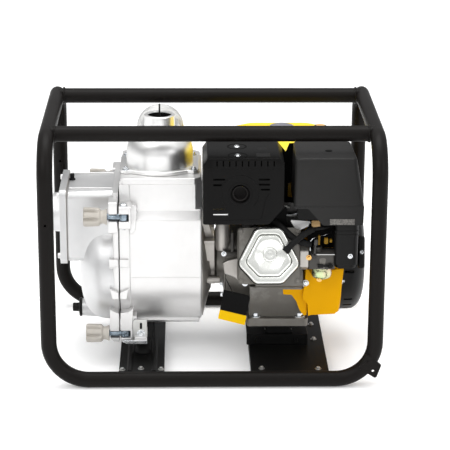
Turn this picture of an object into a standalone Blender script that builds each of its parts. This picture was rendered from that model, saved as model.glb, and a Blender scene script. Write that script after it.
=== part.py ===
"""Petrol-engine trash pump in a tubular carrying frame, metres, +Z up.

The origin is on the ground under the middle of the frame.  +X runs from the pump to the
engine's pull starter, -Y is the side with the valve cover, and the shaft lies along X.
Every sub-part is one closed solid in an object of its own.
"""
import math

import bmesh
import bpy
from mathutils import Matrix, Vector

# ---- driving dimensions ----------------------------------------------------------------
GAP = 0.0003                    # left between touching pieces
FRAME_LENGTH = 0.694            # over the tubes, along X
FRAME_DEPTH = 0.502             # over the tubes, along Y
TUBE_R = 0.016
RAIL_Z = 0.5095                 # centre line of the level side rails
LOW_BEND = 0.080                # centre-line radii of the tube bends
FRONT_BEND = 0.078
REAR_BEND = 0.055
FRONT_BAR_Y, REAR_BAR_Y = -0.144, 0.170
SEAM_X = 0.011                  # butt weld between the two hoops
DECK_Z = 0.026                  # top of the base channels

SHAFT_Z = 0.205                 # crankshaft and impeller axis
SHAFT_R = 0.0125
INCLINE = math.radians(18)      # cylinder axis above the horizontal
CYLINDER_X = 0.115
HEAD_L = 0.150                  # cylinder deck, from the crankshaft's axis
CAM_AXIS = (0.0585, 0.235)      # Y and Z of the camshaft
FOOT = (0.143, 0.0813)          # X of the engine mounts, and the foot's underside
PUMP_FOOT = (-0.144, 0.056)     # X of the pump mounts, and the underside of their lugs

DRUM_Z = 0.187                  # centre of the pump casing's round bottom
DRUM_R = 0.120
CASE_X0 = -0.1895               # parting face, cover side
CASE_X1 = -0.0195               # engine side
CASE_TOP = 0.405
CASE_WALL = 0.006
COVER_X = -0.1915               # the cover's parting face
INLET_Z = 0.300                 # suction port height
OUTLET = (-0.107, -0.015)       # discharge opening, X and Y
OUTLET_Z = 0.458                # axis of the rearward outlet pipe
OUTLET_END = 0.107
BELL_R = 0.0695
PIPE_R = 0.044
NECK_Y = -0.020                 # priming neck
NECK_TOP = 0.518
DRAIN = (0.020, 0.078)          # Y and Z of the drain boss

CLAMP_X = -0.180                # swing-bolt pivots
UPPER_CLAMP = (0.140, 0.3335)   # distance from the middle plane, and height
LOWER_CLAMP = (0.115, 0.0705)
LOWER_ARM = 0.016               # from the lower bolts' axes down to the lugs' undersides
PIN_HOLE_R = 0.0043
PIN_REACH = 0.0165              # how far the lower pins reach up past the bolts' axes

CARB = (-0.150, 0.250)          # Y and Z of the carburetor's throat, which runs along X
AIR_BOX_Y = (-0.190, -0.053)    # front and back of both the air cleaner and the muffler guard
EXHAUST = (0.056, 0.397)        # X and Z of the exhaust outlet
CAP = (0.149, 0.029)            # X and Y of the fuel cap
PULL_X = 0.3065                 # starter rope's plane
PULL_TILT = math.radians(-20)   # the rope leaves towards -Y and 20 degrees up

FINISHES = {                    # colour, roughness, metallic
    "frame_black": ((0.022, 0.021, 0.020), 0.42, 0.2),
    "cast_aluminium": ((0.62, 0.62, 0.62), 0.42, 0.9),
    "polished_aluminium": ((0.72, 0.72, 0.71), 0.22, 1.0),
    "engine_grey": ((0.26, 0.25, 0.235), 0.5, 0.6),
    "bright_zinc": ((0.62, 0.64, 0.66), 0.25, 1.0),
    "beige_plastic": ((0.50, 0.47, 0.41), 0.5, 0.0),
    "black_plastic": ((0.018, 0.018, 0.018), 0.45, 0.0),
    "black_paint": ((0.015, 0.015, 0.016), 0.35, 0.1),
    "yellow_paint": ((0.90, 0.52, 0.012), 0.3, 0.0),
    "rubber": ((0.012, 0.012, 0.012), 0.8, 0.0),
    "iron": ((0.20, 0.19, 0.18), 0.55, 0.9),
    "red_plastic": ((0.55, 0.02, 0.015), 0.4, 0.0),
}


# ---- tools -----------------------------------------------------------------------------
def clear_scene():
    for item in list(bpy.data.objects):
        bpy.data.objects.remove(item, do_unlink=True)


def finish(name):
    """The material of this name, made on first use."""
    made = bpy.data.materials.get(name)
    if made is None:
        colour, roughness, metallic = FINISHES[name]
        made = bpy.data.materials.new(name)
        made.use_nodes = True
        shader = made.node_tree.nodes["Principled BSDF"]
        shader.inputs["Base Color"].default_value = (*colour, 1.0)
        shader.inputs["Roughness"].default_value = roughness
        shader.inputs["Metallic"].default_value = metallic
    return made


def mesh_of(faces_from, name):
    """Close a bmesh into a mesh with outward normals and smooth round faces."""
    bmesh.ops.recalc_face_normals(faces_from, faces=faces_from.faces)
    mesh = bpy.data.meshes.new(name)
    faces_from.to_mesh(mesh)
    faces_from.free()
    mesh.shade_smooth()
    mesh.set_sharp_from_angle(angle=math.radians(35))
    return mesh


def rings_mesh(rings, closed=False, name="rings"):
    """Skin a list of rings of points; open ends are capped, a 1-point ring is a pole."""
    bm = bmesh.new()
    loops = [[bm.verts.new(point) for point in ring] for ring in rings]
    pairs = list(zip(loops, loops[1:]))
    if closed:
        pairs.append((loops[-1], loops[0]))
    for low, high in pairs:
        count = max(len(low), len(high))
        for i in range(count):
            j = (i + 1) % count
            if len(low) == 1:
                bm.faces.new((low[0], high[j], high[i]))
            elif len(high) == 1:
                bm.faces.new((low[i], low[j], high[0]))
            else:
                bm.faces.new((low[i], low[j], high[j], high[i]))
    if not closed:
        for end in (loops[0], loops[-1]):
            if len(end) > 1:
                bm.faces.new(end)
    return mesh_of(bm, name)


def along(axis, a, u, v):
    """A point from its distance along an axis and its two cross-wise coordinates."""
    return {"X": (a, u, v), "Y": (u, a, v), "Z": (u, v, a)}[axis]


def lathe(profile, axis="X", sides=20, closed=False):
    """Turn (distance along the axis, radius) points round the axis."""
    rings = []
    for a, radius in profile:
        if radius == 0:
            rings.append([along(axis, a, 0, 0)])
            continue
        turn = [2 * math.pi * i / sides for i in range(sides)]
        rings.append([along(axis, a, radius * math.cos(t), radius * math.sin(t)) for t in turn])
    return rings_mesh(rings, closed)


def rod(radius, low, high, axis="X", sides=20):
    return lathe([(low, radius), (high, radius)], axis, sides)


def ring(inner, outer, low, high, axis="X", sides=20):
    return lathe([(low, inner), (low, outer), (high, outer), (high, inner)], axis, sides, True)


def prism(outline, low, high, axis="X"):
    """Extrude a flat outline of cross-wise coordinates along an axis."""
    return rings_mesh([[along(axis, a, u, v) for u, v in outline] for a in (low, high)])


def box(x, y, z):
    return prism([(y[0], z[0]), (y[1], z[0]), (y[1], z[1]), (y[0], z[1])], x[0], x[1])


def arc(centre, radius, start, end, steps):
    """Points on an arc, in degrees."""
    turn = [math.radians(start + (end - start) * i / steps) for i in range(steps + 1)]
    return [(centre[0] + radius * math.cos(t), centre[1] + radius * math.sin(t)) for t in turn]


def rounded(corners, radius, steps=3):
    """Round every corner of a flat outline; radius is one number or one for each corner."""
    radii = radius if isinstance(radius, (list, tuple)) else [radius] * len(corners)
    outline = []
    for i, corner in enumerate(corners):
        here = Vector(corner)
        back = (Vector(corners[i - 1]) - here).normalized()
        on = (Vector(corners[(i + 1) % len(corners)]) - here).normalized()
        half = back.angle(on) / 2
        reach = radii[i] / math.tan(half)
        middle = here + (back + on).normalized() * radii[i] / math.sin(half)
        first = here + back * reach - middle
        last = here + on * reach - middle
        for k in range(steps + 1):
            spoke = first.lerp(last, k / steps).normalized() * radii[i]
            outline.append(tuple(middle + spoke))
    return outline


def block(x, y, z, radius=0.004, axis="Z"):
    """A box whose four edges along one axis are rounded."""
    spans = {"X": (y, z, x), "Y": (x, z, y), "Z": (x, y, z)}[axis]
    u, v, a = spans
    corners = [(u[0], v[0]), (u[1], v[0]), (u[1], v[1]), (u[0], v[1])]
    return prism(rounded(corners, radius, 2), a[0], a[1], axis)


def bent_route(corners, radii, steps=4):
    """A 3-D route through corners, with an arc of the given radius at each inner one."""
    route = [Vector(corners[0])]
    for before, corner, after, radius in zip(corners, corners[1:], corners[2:], radii):
        here = Vector(corner)
        back = (Vector(before) - here).normalized()
        on = (Vector(after) - here).normalized()
        half = back.angle(on) / 2
        middle = here + (back + on).normalized() * radius / math.sin(half)
        first = here + back * radius / math.tan(half) - middle
        last = here + on * radius / math.tan(half) - middle
        sweep = first.angle(last)
        for k in range(steps + 1):
            t = k / steps
            spoke = first * math.sin((1 - t) * sweep) + last * math.sin(t * sweep)
            route.append(middle + spoke / math.sin(sweep))
    route.append(Vector(corners[-1]))
    return route


def tube_mesh(route, radii, sides=12):
    """Rings of points square to a route; radii is one number or one for each point.

    The flats of the ring face along the axes, and each radius is measured to the flats.
    """
    if not isinstance(radii, (list, tuple)):
        radii = [radii] * len(route)
    radii = [radius / math.cos(math.pi / sides) for radius in radii]
    points = [Vector(p) for p in route]
    ways = [(b - a).normalized() for a, b in zip(points, points[1:])]
    tangents = [ways[0]] + [(a + b).normalized() for a, b in zip(ways, ways[1:])] + [ways[-1]]
    side = tangents[0].cross(Vector((0, 1, 0))).normalized()
    rings = []
    for i, (point, tangent) in enumerate(zip(points, tangents)):
        if i:
            side = tangents[i - 1].rotation_difference(tangent) @ side
        other = tangent.cross(side)
        turn = [2 * math.pi * (k + 0.5) / sides for k in range(sides)]
        rings.append([point + (side * math.cos(t) + other * math.sin(t)) * radii[i]
                      for t in turn])
    return rings_mesh(rings)


def smooth_route(points, steps=4):
    """A Catmull-Rom curve through points."""
    ends = [Vector(p) for p in points]
    ends = [2 * ends[0] - ends[1]] + ends + [2 * ends[-1] - ends[-2]]
    route = []
    for a, b, c, d in zip(ends, ends[1:], ends[2:], ends[3:]):
        for k in range(steps):
            t = k / steps
            route.append(0.5 * (2 * b + (c - a) * t + (2 * a - 5 * b + 4 * c - d) * t * t
                                + (3 * b - a - 3 * c + d) * t ** 3))
    route.append(ends[-2])
    return route


def part(name, mesh, look, at=(0, 0, 0), turn=(0, 0, 0), parent=None):
    """A named sub-part with its own material."""
    thing = bpy.data.objects.new(name, mesh)
    mesh.materials.clear()
    mesh.materials.append(finish(look))
    bpy.context.collection.objects.link(thing)
    thing.location = at
    thing.rotation_euler = turn
    thing.parent = parent
    return thing


def pivot(name, at):
    """An empty that a group of pieces hangs from."""
    empty = bpy.data.objects.new(name, None)
    bpy.context.collection.objects.link(empty)
    empty.location = at
    return empty


def shape(target, mesh, operation, at=(0, 0, 0), turn=(0, 0, 0)):
    """Join a mesh to a sub-part, or cut it away, in the sub-part's own space."""
    tool = bpy.data.objects.new(target.name + "_tool", mesh)
    bpy.context.collection.objects.link(tool)
    tool.parent = target
    tool.location = at
    tool.rotation_euler = turn
    tool.hide_render = True
    tool.display_type = "WIRE"
    step = target.modifiers.new(operation.lower(), "BOOLEAN")
    step.operation = operation
    step.solver = "EXACT"
    step.object = tool


def fuse(target, mesh, **place):
    shape(target, mesh, "UNION", **place)


def cut(target, mesh, **place):
    shape(target, mesh, "DIFFERENCE", **place)


# ---- carrying frame --------------------------------------------------------------------
HALF_X = FRAME_LENGTH / 2 - TUBE_R
HALF_Y = FRAME_DEPTH / 2 - TUBE_R
CHANNEL_Y = HALF_Y - TUBE_R - 2 * GAP


def hoop(name, side):
    """One bent tube: front bottom, upright, side rail, rear upright, rear bottom."""
    seam = SEAM_X + side * GAP / 2
    x = side * HALF_X
    corners = [(seam, -HALF_Y, TUBE_R), (x, -HALF_Y, TUBE_R), (x, -HALF_Y, RAIL_Z),
               (x, HALF_Y, RAIL_Z), (x, HALF_Y, TUBE_R), (seam, HALF_Y, TUBE_R)]
    route = bent_route(corners, [LOW_BEND, FRONT_BEND, REAR_BEND, LOW_BEND])
    return part(name, tube_mesh(route, TUBE_R), "frame_black")


def top_bar(name, y):
    """A cross bar between the side rails."""
    reach = HALF_X - TUBE_R - GAP
    part(name, tube_mesh([(-reach, 0, 0), (reach, 0, 0)], TUBE_R), "frame_black",
         at=(0, y, RAIL_Z))


def channel(name, x0, x1, ribs):
    """A pressed base channel between the bottom tubes, with raised ribs along it."""
    plate, flange, rib_w, rib_h = 0.003, 0.018, 0.006, 0.003
    top = [(x0, DECK_Z)]
    for rib in ribs:
        top += [(rib - rib_w, DECK_Z), (rib - rib_w / 2, DECK_Z + rib_h),
                (rib + rib_w / 2, DECK_Z + rib_h), (rib + rib_w, DECK_Z)]
    top.append((x1, DECK_Z))
    under = [(x1, DECK_Z - flange), (x1 - plate, DECK_Z - flange), (x1 - plate, DECK_Z - plate),
             (x0 + plate, DECK_Z - plate), (x0 + plate, DECK_Z - flange),
             (x0, DECK_Z - flange)]
    part(name, prism(top + under, -CHANNEL_Y, CHANNEL_Y, "Y"), "black_paint")


def build_frame():
    hoop("frame_hoop_left", -1)
    right = hoop("frame_hoop_right", 1)
    face = -FRAME_DEPTH / 2 + 0.0001
    tag_plate = [(0.312, 0.0768), (0.2977, 0.0449), (0.333, 0.0216), (0.3435, 0.0516)]
    fuse(right, prism(rounded(tag_plate, 0.004, 2), face, face + 0.0045, "Y"))
    top_bar("frame_front_bar", FRONT_BAR_Y)
    top_bar("frame_rear_bar", REAR_BAR_Y)
    channel("pump_base_channel", -0.191, -0.098, [-0.169, -0.119])
    channel("engine_base_channel", 0.080, 0.240, [])


def build_mounts():
    """The engine's hat-shaped saddle, and the rubber blocks under engine and pump."""
    x = (0.075, 0.205)
    low, top, plate, half = DECK_Z + GAP, 0.050, 0.003, 0.075
    hat = [(-half, low), (-half, top), (half, top), (half, low), (half - plate, low),
           (half - plate, top - plate), (-half + plate, top - plate), (-half + plate, low)]
    part("engine_saddle", prism(hat, x[0], x[1]), "black_paint")
    for name, side in (("engine_mount_front", -1), ("engine_mount_rear", 1)):
        part(name, block((-0.027, 0.027), (-0.020, 0.020), (0, FOOT[1] - top - 2 * GAP), 0.006),
             "rubber", at=(FOOT[0], side * 0.050, top + GAP))
    height = PUMP_FOOT[1] - DECK_Z - 2 * GAP
    waist = [(0, 0.017), (0.006, 0.017), (height / 2, 0.014), (height - 0.006, 0.017),
             (height, 0.017)]
    for name, side in (("pump_mount_front", -1), ("pump_mount_rear", 1)):
        part(name, lathe(waist, "Z", 16), "rubber", at=(PUMP_FOOT[0], side * 0.112, DECK_Z + GAP))


# ---- pump ------------------------------------------------------------------------------
def case_outline(grow=0.0, lip=0.0, top=CASE_TOP, steps=14):
    """The casing's section: round bottom, straight sides and a narrower neck."""
    radius = DRUM_R + grow
    neck = 0.105 + grow
    low = arc((0, DRUM_Z), radius, 180, 360, steps)
    right = [(radius, 0.320), (neck, 0.320 + radius - neck)]
    if lip:
        right += [(neck, 0.3915), (neck + lip, 0.3915)]
    right += [(neck + lip, top)]
    return low + right + [(-y, z) for y, z in reversed(right)]


def clamp_lugs(target, x0, x1, upper_half):
    """Four lugs beside the parting face, two high and two low."""
    upper_y, upper_z = UPPER_CLAMP
    lower_y, lower_z = LOWER_CLAMP
    for side in (-1, 1):
        fuse(target, box((x0, x1), sorted((side * 0.098, side * (upper_y + 0.0105))),
                         (upper_z - upper_half, upper_z + upper_half)))
        fuse(target, box((x0, x1), sorted((side * 0.080, side * (lower_y + 0.0105))),
                         (lower_z - LOWER_ARM, 0.127)))


def clamp_slots(target, x0, x1, half, inner):
    """Slots in the lugs, open outwards, in which the swing bolts lie."""
    for side in (-1, 1):
        for y, z in (UPPER_CLAMP, LOWER_CLAMP):
            cut(target, box((x0, x1), sorted((side * (y - inner), side * (y + 0.02))),
                            (z - half, z + half)))


def build_casing():
    casing = part("pump_casing", prism(case_outline(lip=0.003), CASE_X0, CASE_X1),
                  "cast_aluminium")
    back = CASE_X1 + 0.0195
    fuse(casing, lathe([(CASE_X1 - 0.004, 0.1165), (CASE_X1, 0.1165), (back, 0.052)]),
         at=(0, 0, DRUM_Z))
    fuse(casing, rod(0.058, CASE_X1 - 0.004, 0.008), at=(0, 0, SHAFT_Z))
    for side in (-1, 1):
        fuse(casing, box((CASE_X1 - 0.003, 0.007), sorted((side * 0.040, side * 0.075)),
                         (0.2151, 0.2606)))
        for rise in (-0.042, 0.042):
            fuse(casing, rod(0.0068, CASE_X1 - 0.003, 0.008, sides=12),
                 at=(0, side * 0.050, SHAFT_Z + rise))
        fuse(casing, box((-0.160, -0.1345), sorted((side * 0.075, side * 0.140)),
                         (PUMP_FOOT[1], 0.070)))
        fuse(casing, box((-0.1685, -0.1560), sorted((side * 0.080, side * 0.121)),
                         (PUMP_FOOT[1] + 0.0005, 0.122)))

    clamp_lugs(casing, CASE_X0, -0.1645, 0.024)
    clamp_slots(casing, -0.20, -0.1690, 0.0078, 0.012)
    for side in (-1, 1):
        for (y, z), deep in ((UPPER_CLAMP, 0.05), (LOWER_CLAMP, PIN_REACH + GAP)):
            cut(casing, rod(PIN_HOLE_R, -0.05, deep, "Z", 12), at=(CLAMP_X, side * y, z))
    inner = case_outline(-CASE_WALL, top=CASE_TOP - 0.008)
    cut(casing, prism(inner, CASE_X0 - 0.01, CASE_X1 - 0.012))
    cut(casing, box((CASE_X1 - 0.005, 0.01), (-0.12, 0.12), (0.336, CASE_TOP + 0.01)))
    cut(casing, rod(0.052, 0.38, 0.42, "Z"), at=(OUTLET[0], OUTLET[1], 0))
    cut(casing, rod(0.030, -0.04, 0.02), at=(0, 0, SHAFT_Z))


def build_cover():
    """The front cover: flange, round dome over the volute, and the inlet chamber."""
    cover = part("pump_cover", prism(case_outline(0.002, top=0.374), COVER_X - 0.012, COVER_X),
                 "cast_aluminium")
    dome = [(-0.199, 0.1205), (-0.216, 0.1195), (-0.238, 0.113), (-0.256, 0.102),
            (-0.268, 0.086), (-0.2745, 0.062), (-0.2765, 0.030), (-0.277, 0.0)]
    fuse(cover, lathe(dome, sides=24), at=(0, 0, DRUM_Z))
    fuse(cover, block((-0.300, -0.199), (-0.080, 0.080), (0.214, 0.369), 0.008, "X"))
    fuse(cover, rod(0.019, -0.2765, -0.225), at=(0, *DRAIN))

    clamp_lugs(cover, -0.2110, -0.1925, 0.035)
    clamp_slots(cover, -0.23, -0.18, 0.0085, 0.0115)
    hollow = [(-0.185, 0.1135), (-0.217, 0.1125), (-0.235, 0.1065), (-0.2515, 0.0965),
              (-0.2625, 0.082), (-0.2685, 0.060), (-0.2705, 0.029), (-0.271, 0.0)]
    cut(cover, lathe(hollow, sides=24), at=(0, 0, DRUM_Z))
    cut(cover, block((-0.31, -0.18), (-0.073, 0.073), (0.221, 0.362), 0.006, "X"))
    cut(cover, rod(0.0125, -0.29, -0.20), at=(0, *DRAIN))


def build_suction():
    """Cover gasket, suction flange, its flap valve, and the drain plug below."""
    gasket = part("cover_gasket", prism(case_outline(-0.0005, top=0.372),
                                        COVER_X + GAP, CASE_X0 - GAP), "rubber")
    cut(gasket, prism(case_outline(-CASE_WALL, top=0.362), -0.20, -0.18))

    face = -0.3140
    suction = part("suction_flange", block((face, -0.300 - GAP), (-0.083, 0.083),
                                           (-0.090, 0.071), 0.010, "X"), "cast_aluminium",
                   at=(0, 0, INLET_Z))
    fuse(suction, lathe([(face + 0.002, 0.044), (-0.318, 0.0415), (-0.332, 0.0410)], sides=28))
    cut(suction, rod(0.036, -0.34, -0.29, sides=28))

    drop = 0.052
    flap = part("check_valve_flap", block((0, 0.006), (-0.020, 0.020), (-drop, 0.004), 0.002,
                                          "X"), "rubber", at=(-0.296, 0, INLET_Z + drop))
    fuse(flap, rod(0.044, 0.0003, 0.0057), at=(0, 0, -drop))

    drain = [(-0.297, 0), (-0.297, 0.0095), (-0.2825, 0.0095), (-0.2825, 0.020),
             (-0.2768, 0.020), (-0.2768, 0.0121), (-0.264, 0.0121), (-0.264, 0)]
    part("drain_plug", lathe(drain, sides=16), "black_plastic", at=(0, *DRAIN))


def bell(inset, low):
    """The discharge bell: a short barrel under half an ellipsoid."""
    spring = 0.437
    radius, height = BELL_R - inset, 0.062 - inset
    bulge = arc((0, 0), 1, 0, 90, 5)[:-1]
    profile = [(low, radius)] + [(spring + height * b, radius * a) for a, b in bulge]
    return lathe(profile + [(spring + height, 0)], "Z")


def outlet(inset, end):
    """The rearward outlet pipe, with a round nose buried in the bell."""
    radius = PIPE_R - inset
    root = OUTLET[1] + 0.012
    nose = [(root - radius * b, radius * a) for a, b in arc((0, 0), 1, 90, 0, 5)[1:]]
    return lathe([(root - radius, 0)] + nose + [(end, radius)], "Y")


def build_discharge():
    """Discharge elbow with its priming neck, and the plug in the neck."""
    x, y = OUTLET
    wall, base = 0.006, CASE_TOP + 0.005
    half_flange = [(-0.082, -0.045), (-0.074, -0.062), (-0.060, -0.060), (-0.045, -0.066),
                   (-0.015, -0.079), (0.015, -0.079), (0.045, -0.066), (0.060, -0.060),
                   (0.074, -0.062), (0.082, -0.045)]
    flange = half_flange + [(-a, -b) for a, b in half_flange]
    elbow = part("discharge_elbow", prism(flange, CASE_TOP + GAP, CASE_TOP + 0.008, "Z"),
                 "polished_aluminium", at=(x, y, 0))
    fuse(elbow, bell(0, base))
    fuse(elbow, outlet(0, OUTLET_END), at=(0, -y, OUTLET_Z))
    fuse(elbow, rod(0.0315, 0.445, NECK_TOP, "Z"), at=(0, NECK_Y - y, 0))
    cut(elbow, bell(wall, base - 0.02))
    cut(elbow, outlet(wall, OUTLET_END + 0.01), at=(0, -y, OUTLET_Z))
    cut(elbow, rod(0.0215, 0.46, NECK_TOP + 0.01, "Z"), at=(0, NECK_Y - y, 0))

    plug = part("priming_plug", rod(0.0208, -0.014, 0, "Z"), "black_plastic",
                at=(x, NECK_Y, NECK_TOP - 0.004))
    fuse(plug, block((-0.0016, 0.0016), (-0.013, 0.013), (-0.004, 0.024), 0.001, "X"))


def build_pump_inside():
    """Volute, impeller and shaft seal, all on the shaft's axis."""
    centre = (0, 0, SHAFT_Z)
    shell = [(-0.128, 0.048), (-0.128, 0.070), (-0.120, 0.098), (-0.050, 0.098),
             (-0.040, 0.090), (-0.040, 0.034), (-0.045, 0.034), (-0.045, 0.088),
             (-0.052, 0.093), (-0.116, 0.093), (-0.123, 0.070), (-0.123, 0.048)]
    volute = part("volute", lathe(shell, closed=True), "iron", at=centre)
    cut(volute, box((-0.105, -0.060), (0.040, 0.080), (0.03, 0.11)))

    hub = [(-0.112, 0.0), (-0.112, 0.012), (-0.104, 0.020), (-0.062, 0.022), (-0.062, 0.085),
           (-0.056, 0.085), (-0.056, 0.024), (-0.048, 0.022), (-0.048, SHAFT_R + GAP),
           (-0.098, SHAFT_R + GAP), (-0.098, 0)]
    impeller = part("impeller", lathe(hub), "iron", at=centre)
    for blade in range(3):
        vane = [(0.0165, -0.003), (0.0165, 0.004), (0.040, 0.010), (0.062, 0.007),
                (0.080, -0.006), (0.079, -0.012), (0.060, 0.000), (0.040, 0.003)]
        fuse(impeller, prism(vane, -0.104, -0.0605), turn=(math.radians(120 * blade), 0, 0))

    seal = [(-0.037, 0.0145), (-0.037, 0.026), (-0.026, 0.0295), (-0.006, 0.0295),
            (-0.006, 0.0145)]
    part("mechanical_seal", lathe(seal, closed=True), "black_plastic", at=centre)


def build_clamps():
    """Four swing bolts on their upright pins, each with a knob screwed on it."""
    eye_h, rod_r, rod_end, pin_r, head_r, head_h = 0.007, 0.0065, 0.070, 0.004, 0.0065, 0.0045
    knob = [(-0.0715, 0), (-0.0715, rod_r + GAP), (-0.0335, rod_r + GAP), (-0.0335, 0.0165),
            (-0.0460, 0.0140), (-0.0475, 0.0190), (-0.0815, 0.0200), (-0.0815, 0)]
    above, below = 0.024 + GAP, -LOWER_ARM - GAP
    upper_pin = [(-0.027, 0), (-0.027, pin_r), (above, pin_r), (above, head_r),
                 (above + head_h, head_r), (above + head_h, 0)]
    lower_pin = [(below - head_h, 0), (below - head_h, head_r), (below, head_r), (below, pin_r),
                 (PIN_REACH, pin_r), (PIN_REACH, 0)]
    for height, (y, z), pin in (("upper", UPPER_CLAMP, upper_pin),
                                ("lower", LOWER_CLAMP, lower_pin)):
        for end, side in (("front", -1), ("rear", 1)):
            label = height + "_" + end
            hinge = pivot("clamp_pivot_" + label, (CLAMP_X, side * y, z))
            bolt = part("swing_bolt_" + label, ring(PIN_HOLE_R, 0.0095, -eye_h, eye_h, "Z", 16),
                        "bright_zinc", parent=hinge)
            fuse(bolt, rod(rod_r, -rod_end, -0.0062, sides=12))
            part("clamp_knob_" + label, lathe(knob, sides=16), "beige_plastic", parent=hinge)
            part("clamp_pin_" + label, lathe(pin, "Z", 12), "bright_zinc", parent=hinge)


# ---- engine ----------------------------------------------------------------------------
def build_crankcase():
    x0, x1 = 0.0295, 0.193
    corners = [(-0.088, 0.130), (0.111, 0.130), (0.111, 0.290), (-0.060, 0.290),
               (-0.088, 0.250)]
    outline = rounded(corners, [0.012, 0.012, 0.020, 0.012, 0.012], 2)
    case = part("crankcase", prism(outline, x0, x1), "engine_grey")
    fuse(case, block((0.074, 0.202), (-0.111, 0.111), (FOOT[1], FOOT[1] + 0.018), 0.008))
    fuse(case, prism([(-0.098, 0.095), (0.100, 0.095), (0.088, 0.140), (-0.085, 0.140)],
                     0.079, 0.192))
    barrel = cylinder_space()
    fuse(case, block((-0.056, 0.056), (-HEAD_L, -0.055), (-0.052, 0.052), 0.010, "Y"), **barrel)
    hollow = [(-0.080, 0.137), (0.104, 0.137), (0.104, 0.283), (-0.056, 0.283),
              (-0.080, 0.248)]
    cut(case, prism(hollow, x0 - 0.01, x1 - 0.006))
    cut(case, rod(0.0440, -HEAD_L - 0.01, -0.04, "Y", 28), **barrel)
    cut(case, rod(0.0205, 0.15, 0.21), at=(0, 0, SHAFT_Z))
    cut(case, rod(0.0105, 0.09, 0.12, "Y", 16), at=(0.100, 0, 0.165))
    cover = part("crankcase_side_cover", prism(outline, 0.0263, x0 - GAP), "engine_grey")
    fuse(cover, lathe([(0.0083, 0.055), (0.0120, 0.060), (0.0275, 0.062)]),
         at=(0, 0, SHAFT_Z))
    cut(cover, rod(0.0180, 0.0, 0.04), at=(0, 0, SHAFT_Z))


def cylinder_space():
    """Place and turn of a mesh whose -Y axis is the cylinder's."""
    return {"at": (CYLINDER_X, 0, SHAFT_Z), "turn": (-INCLINE, 0, 0)}


def build_top_end():
    """Cylinder head, valve cover and piston, on the inclined cylinder axis."""
    space = cylinder_space()
    part("cylinder_head", block((-0.060, 0.063), (-0.183, -HEAD_L - GAP), (-0.058, 0.056),
                                0.012, "Y"), "engine_grey", **space)
    face = [(-0.026, 0.0565), (0.026, 0.0565), (0.064, -0.018), (0.027, -0.0575),
            (-0.027, -0.0575), (-0.064, -0.018)]
    radii = [0.018, 0.018, 0.018, 0.016, 0.016, 0.018]
    outline = rounded(list(reversed(face)), radii[::-1], 4)
    cover = part("valve_cover", prism(outline, -0.2075, -0.183 - GAP, "Y"),
                 "polished_aluminium", **space)
    inside = [(u * 0.93, v * 0.93) for u, v in outline]
    cut(cover, prism(inside, -0.2030, -0.17, "Y"))
    crown = [(-0.147, 0), (-0.147, 0.0436), (-0.112, 0.0436), (-0.112, 0.038),
             (-0.140, 0.037), (-0.140, 0)]
    part("piston", lathe(crown, "Y"), "cast_aluminium", **space)


def build_rotating():
    """Crankshaft, flywheel and camshaft, each with its origin on its own axis."""
    centre = (0, 0, SHAFT_Z)
    crank = part("crankshaft", rod(SHAFT_R, -0.0975, 0.088, sides=20), "iron", at=centre)
    throw = 0.032
    web = rounded([(-0.040, -0.040), (0.034, -0.040), (0.020, 0.036), (-0.046, 0.030)], 0.010, 2)
    for x0 in (0.086, 0.132):
        fuse(crank, prism(web, x0, x0 + 0.012))
    fuse(crank, rod(0.0115, 0.090, 0.140, sides=16),
         at=(0, -throw * math.cos(INCLINE), throw * math.sin(INCLINE)))
    fuse(crank, rod(SHAFT_R, 0.1425, 0.268, sides=20))
    fuse(crank, rod(0.0217, 0.036, 0.046))

    wheel = [(0.212, SHAFT_R + GAP), (0.212, 0.030), (0.220, 0.040), (0.220, 0.102),
             (0.240, 0.102), (0.240, 0.060), (0.262, 0.052), (0.262, SHAFT_R + GAP)]
    part("flywheel", lathe(wheel, closed=True, sides=24), "iron", at=centre)

    cam = part("camshaft", rod(0.0075, 0.0305, 0.186, sides=12), "iron", at=(0, *CAM_AXIS))
    fuse(cam, rod(0.0434, 0.036, 0.046, sides=24))
    for x0, lobe in ((0.066, 0), (0.160, math.radians(105))):
        fuse(cam, rod(0.0100, x0, x0 + 0.010, sides=12),
             at=(0, 0.003 * math.cos(lobe), 0.003 * math.sin(lobe)))


def taper(low, high, z0, z1, inset=0.0):
    """A rounded box between two outlines, both drawn in by the same inset."""
    rings = []
    for corners, z in ((low, z0), (high, z1)):
        middle = sum((Vector(corner) for corner in corners), Vector((0, 0))) / len(corners)
        moved = []
        for corner in corners:
            out = Vector(corner) - middle
            moved.append((corner[0] - math.copysign(inset, out.x),
                          corner[1] - math.copysign(inset, out.y)))
        rings.append([(a, b, z) for a, b in rounded(moved, 0.008 - inset, 2)])
    return rings_mesh(rings)


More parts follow.
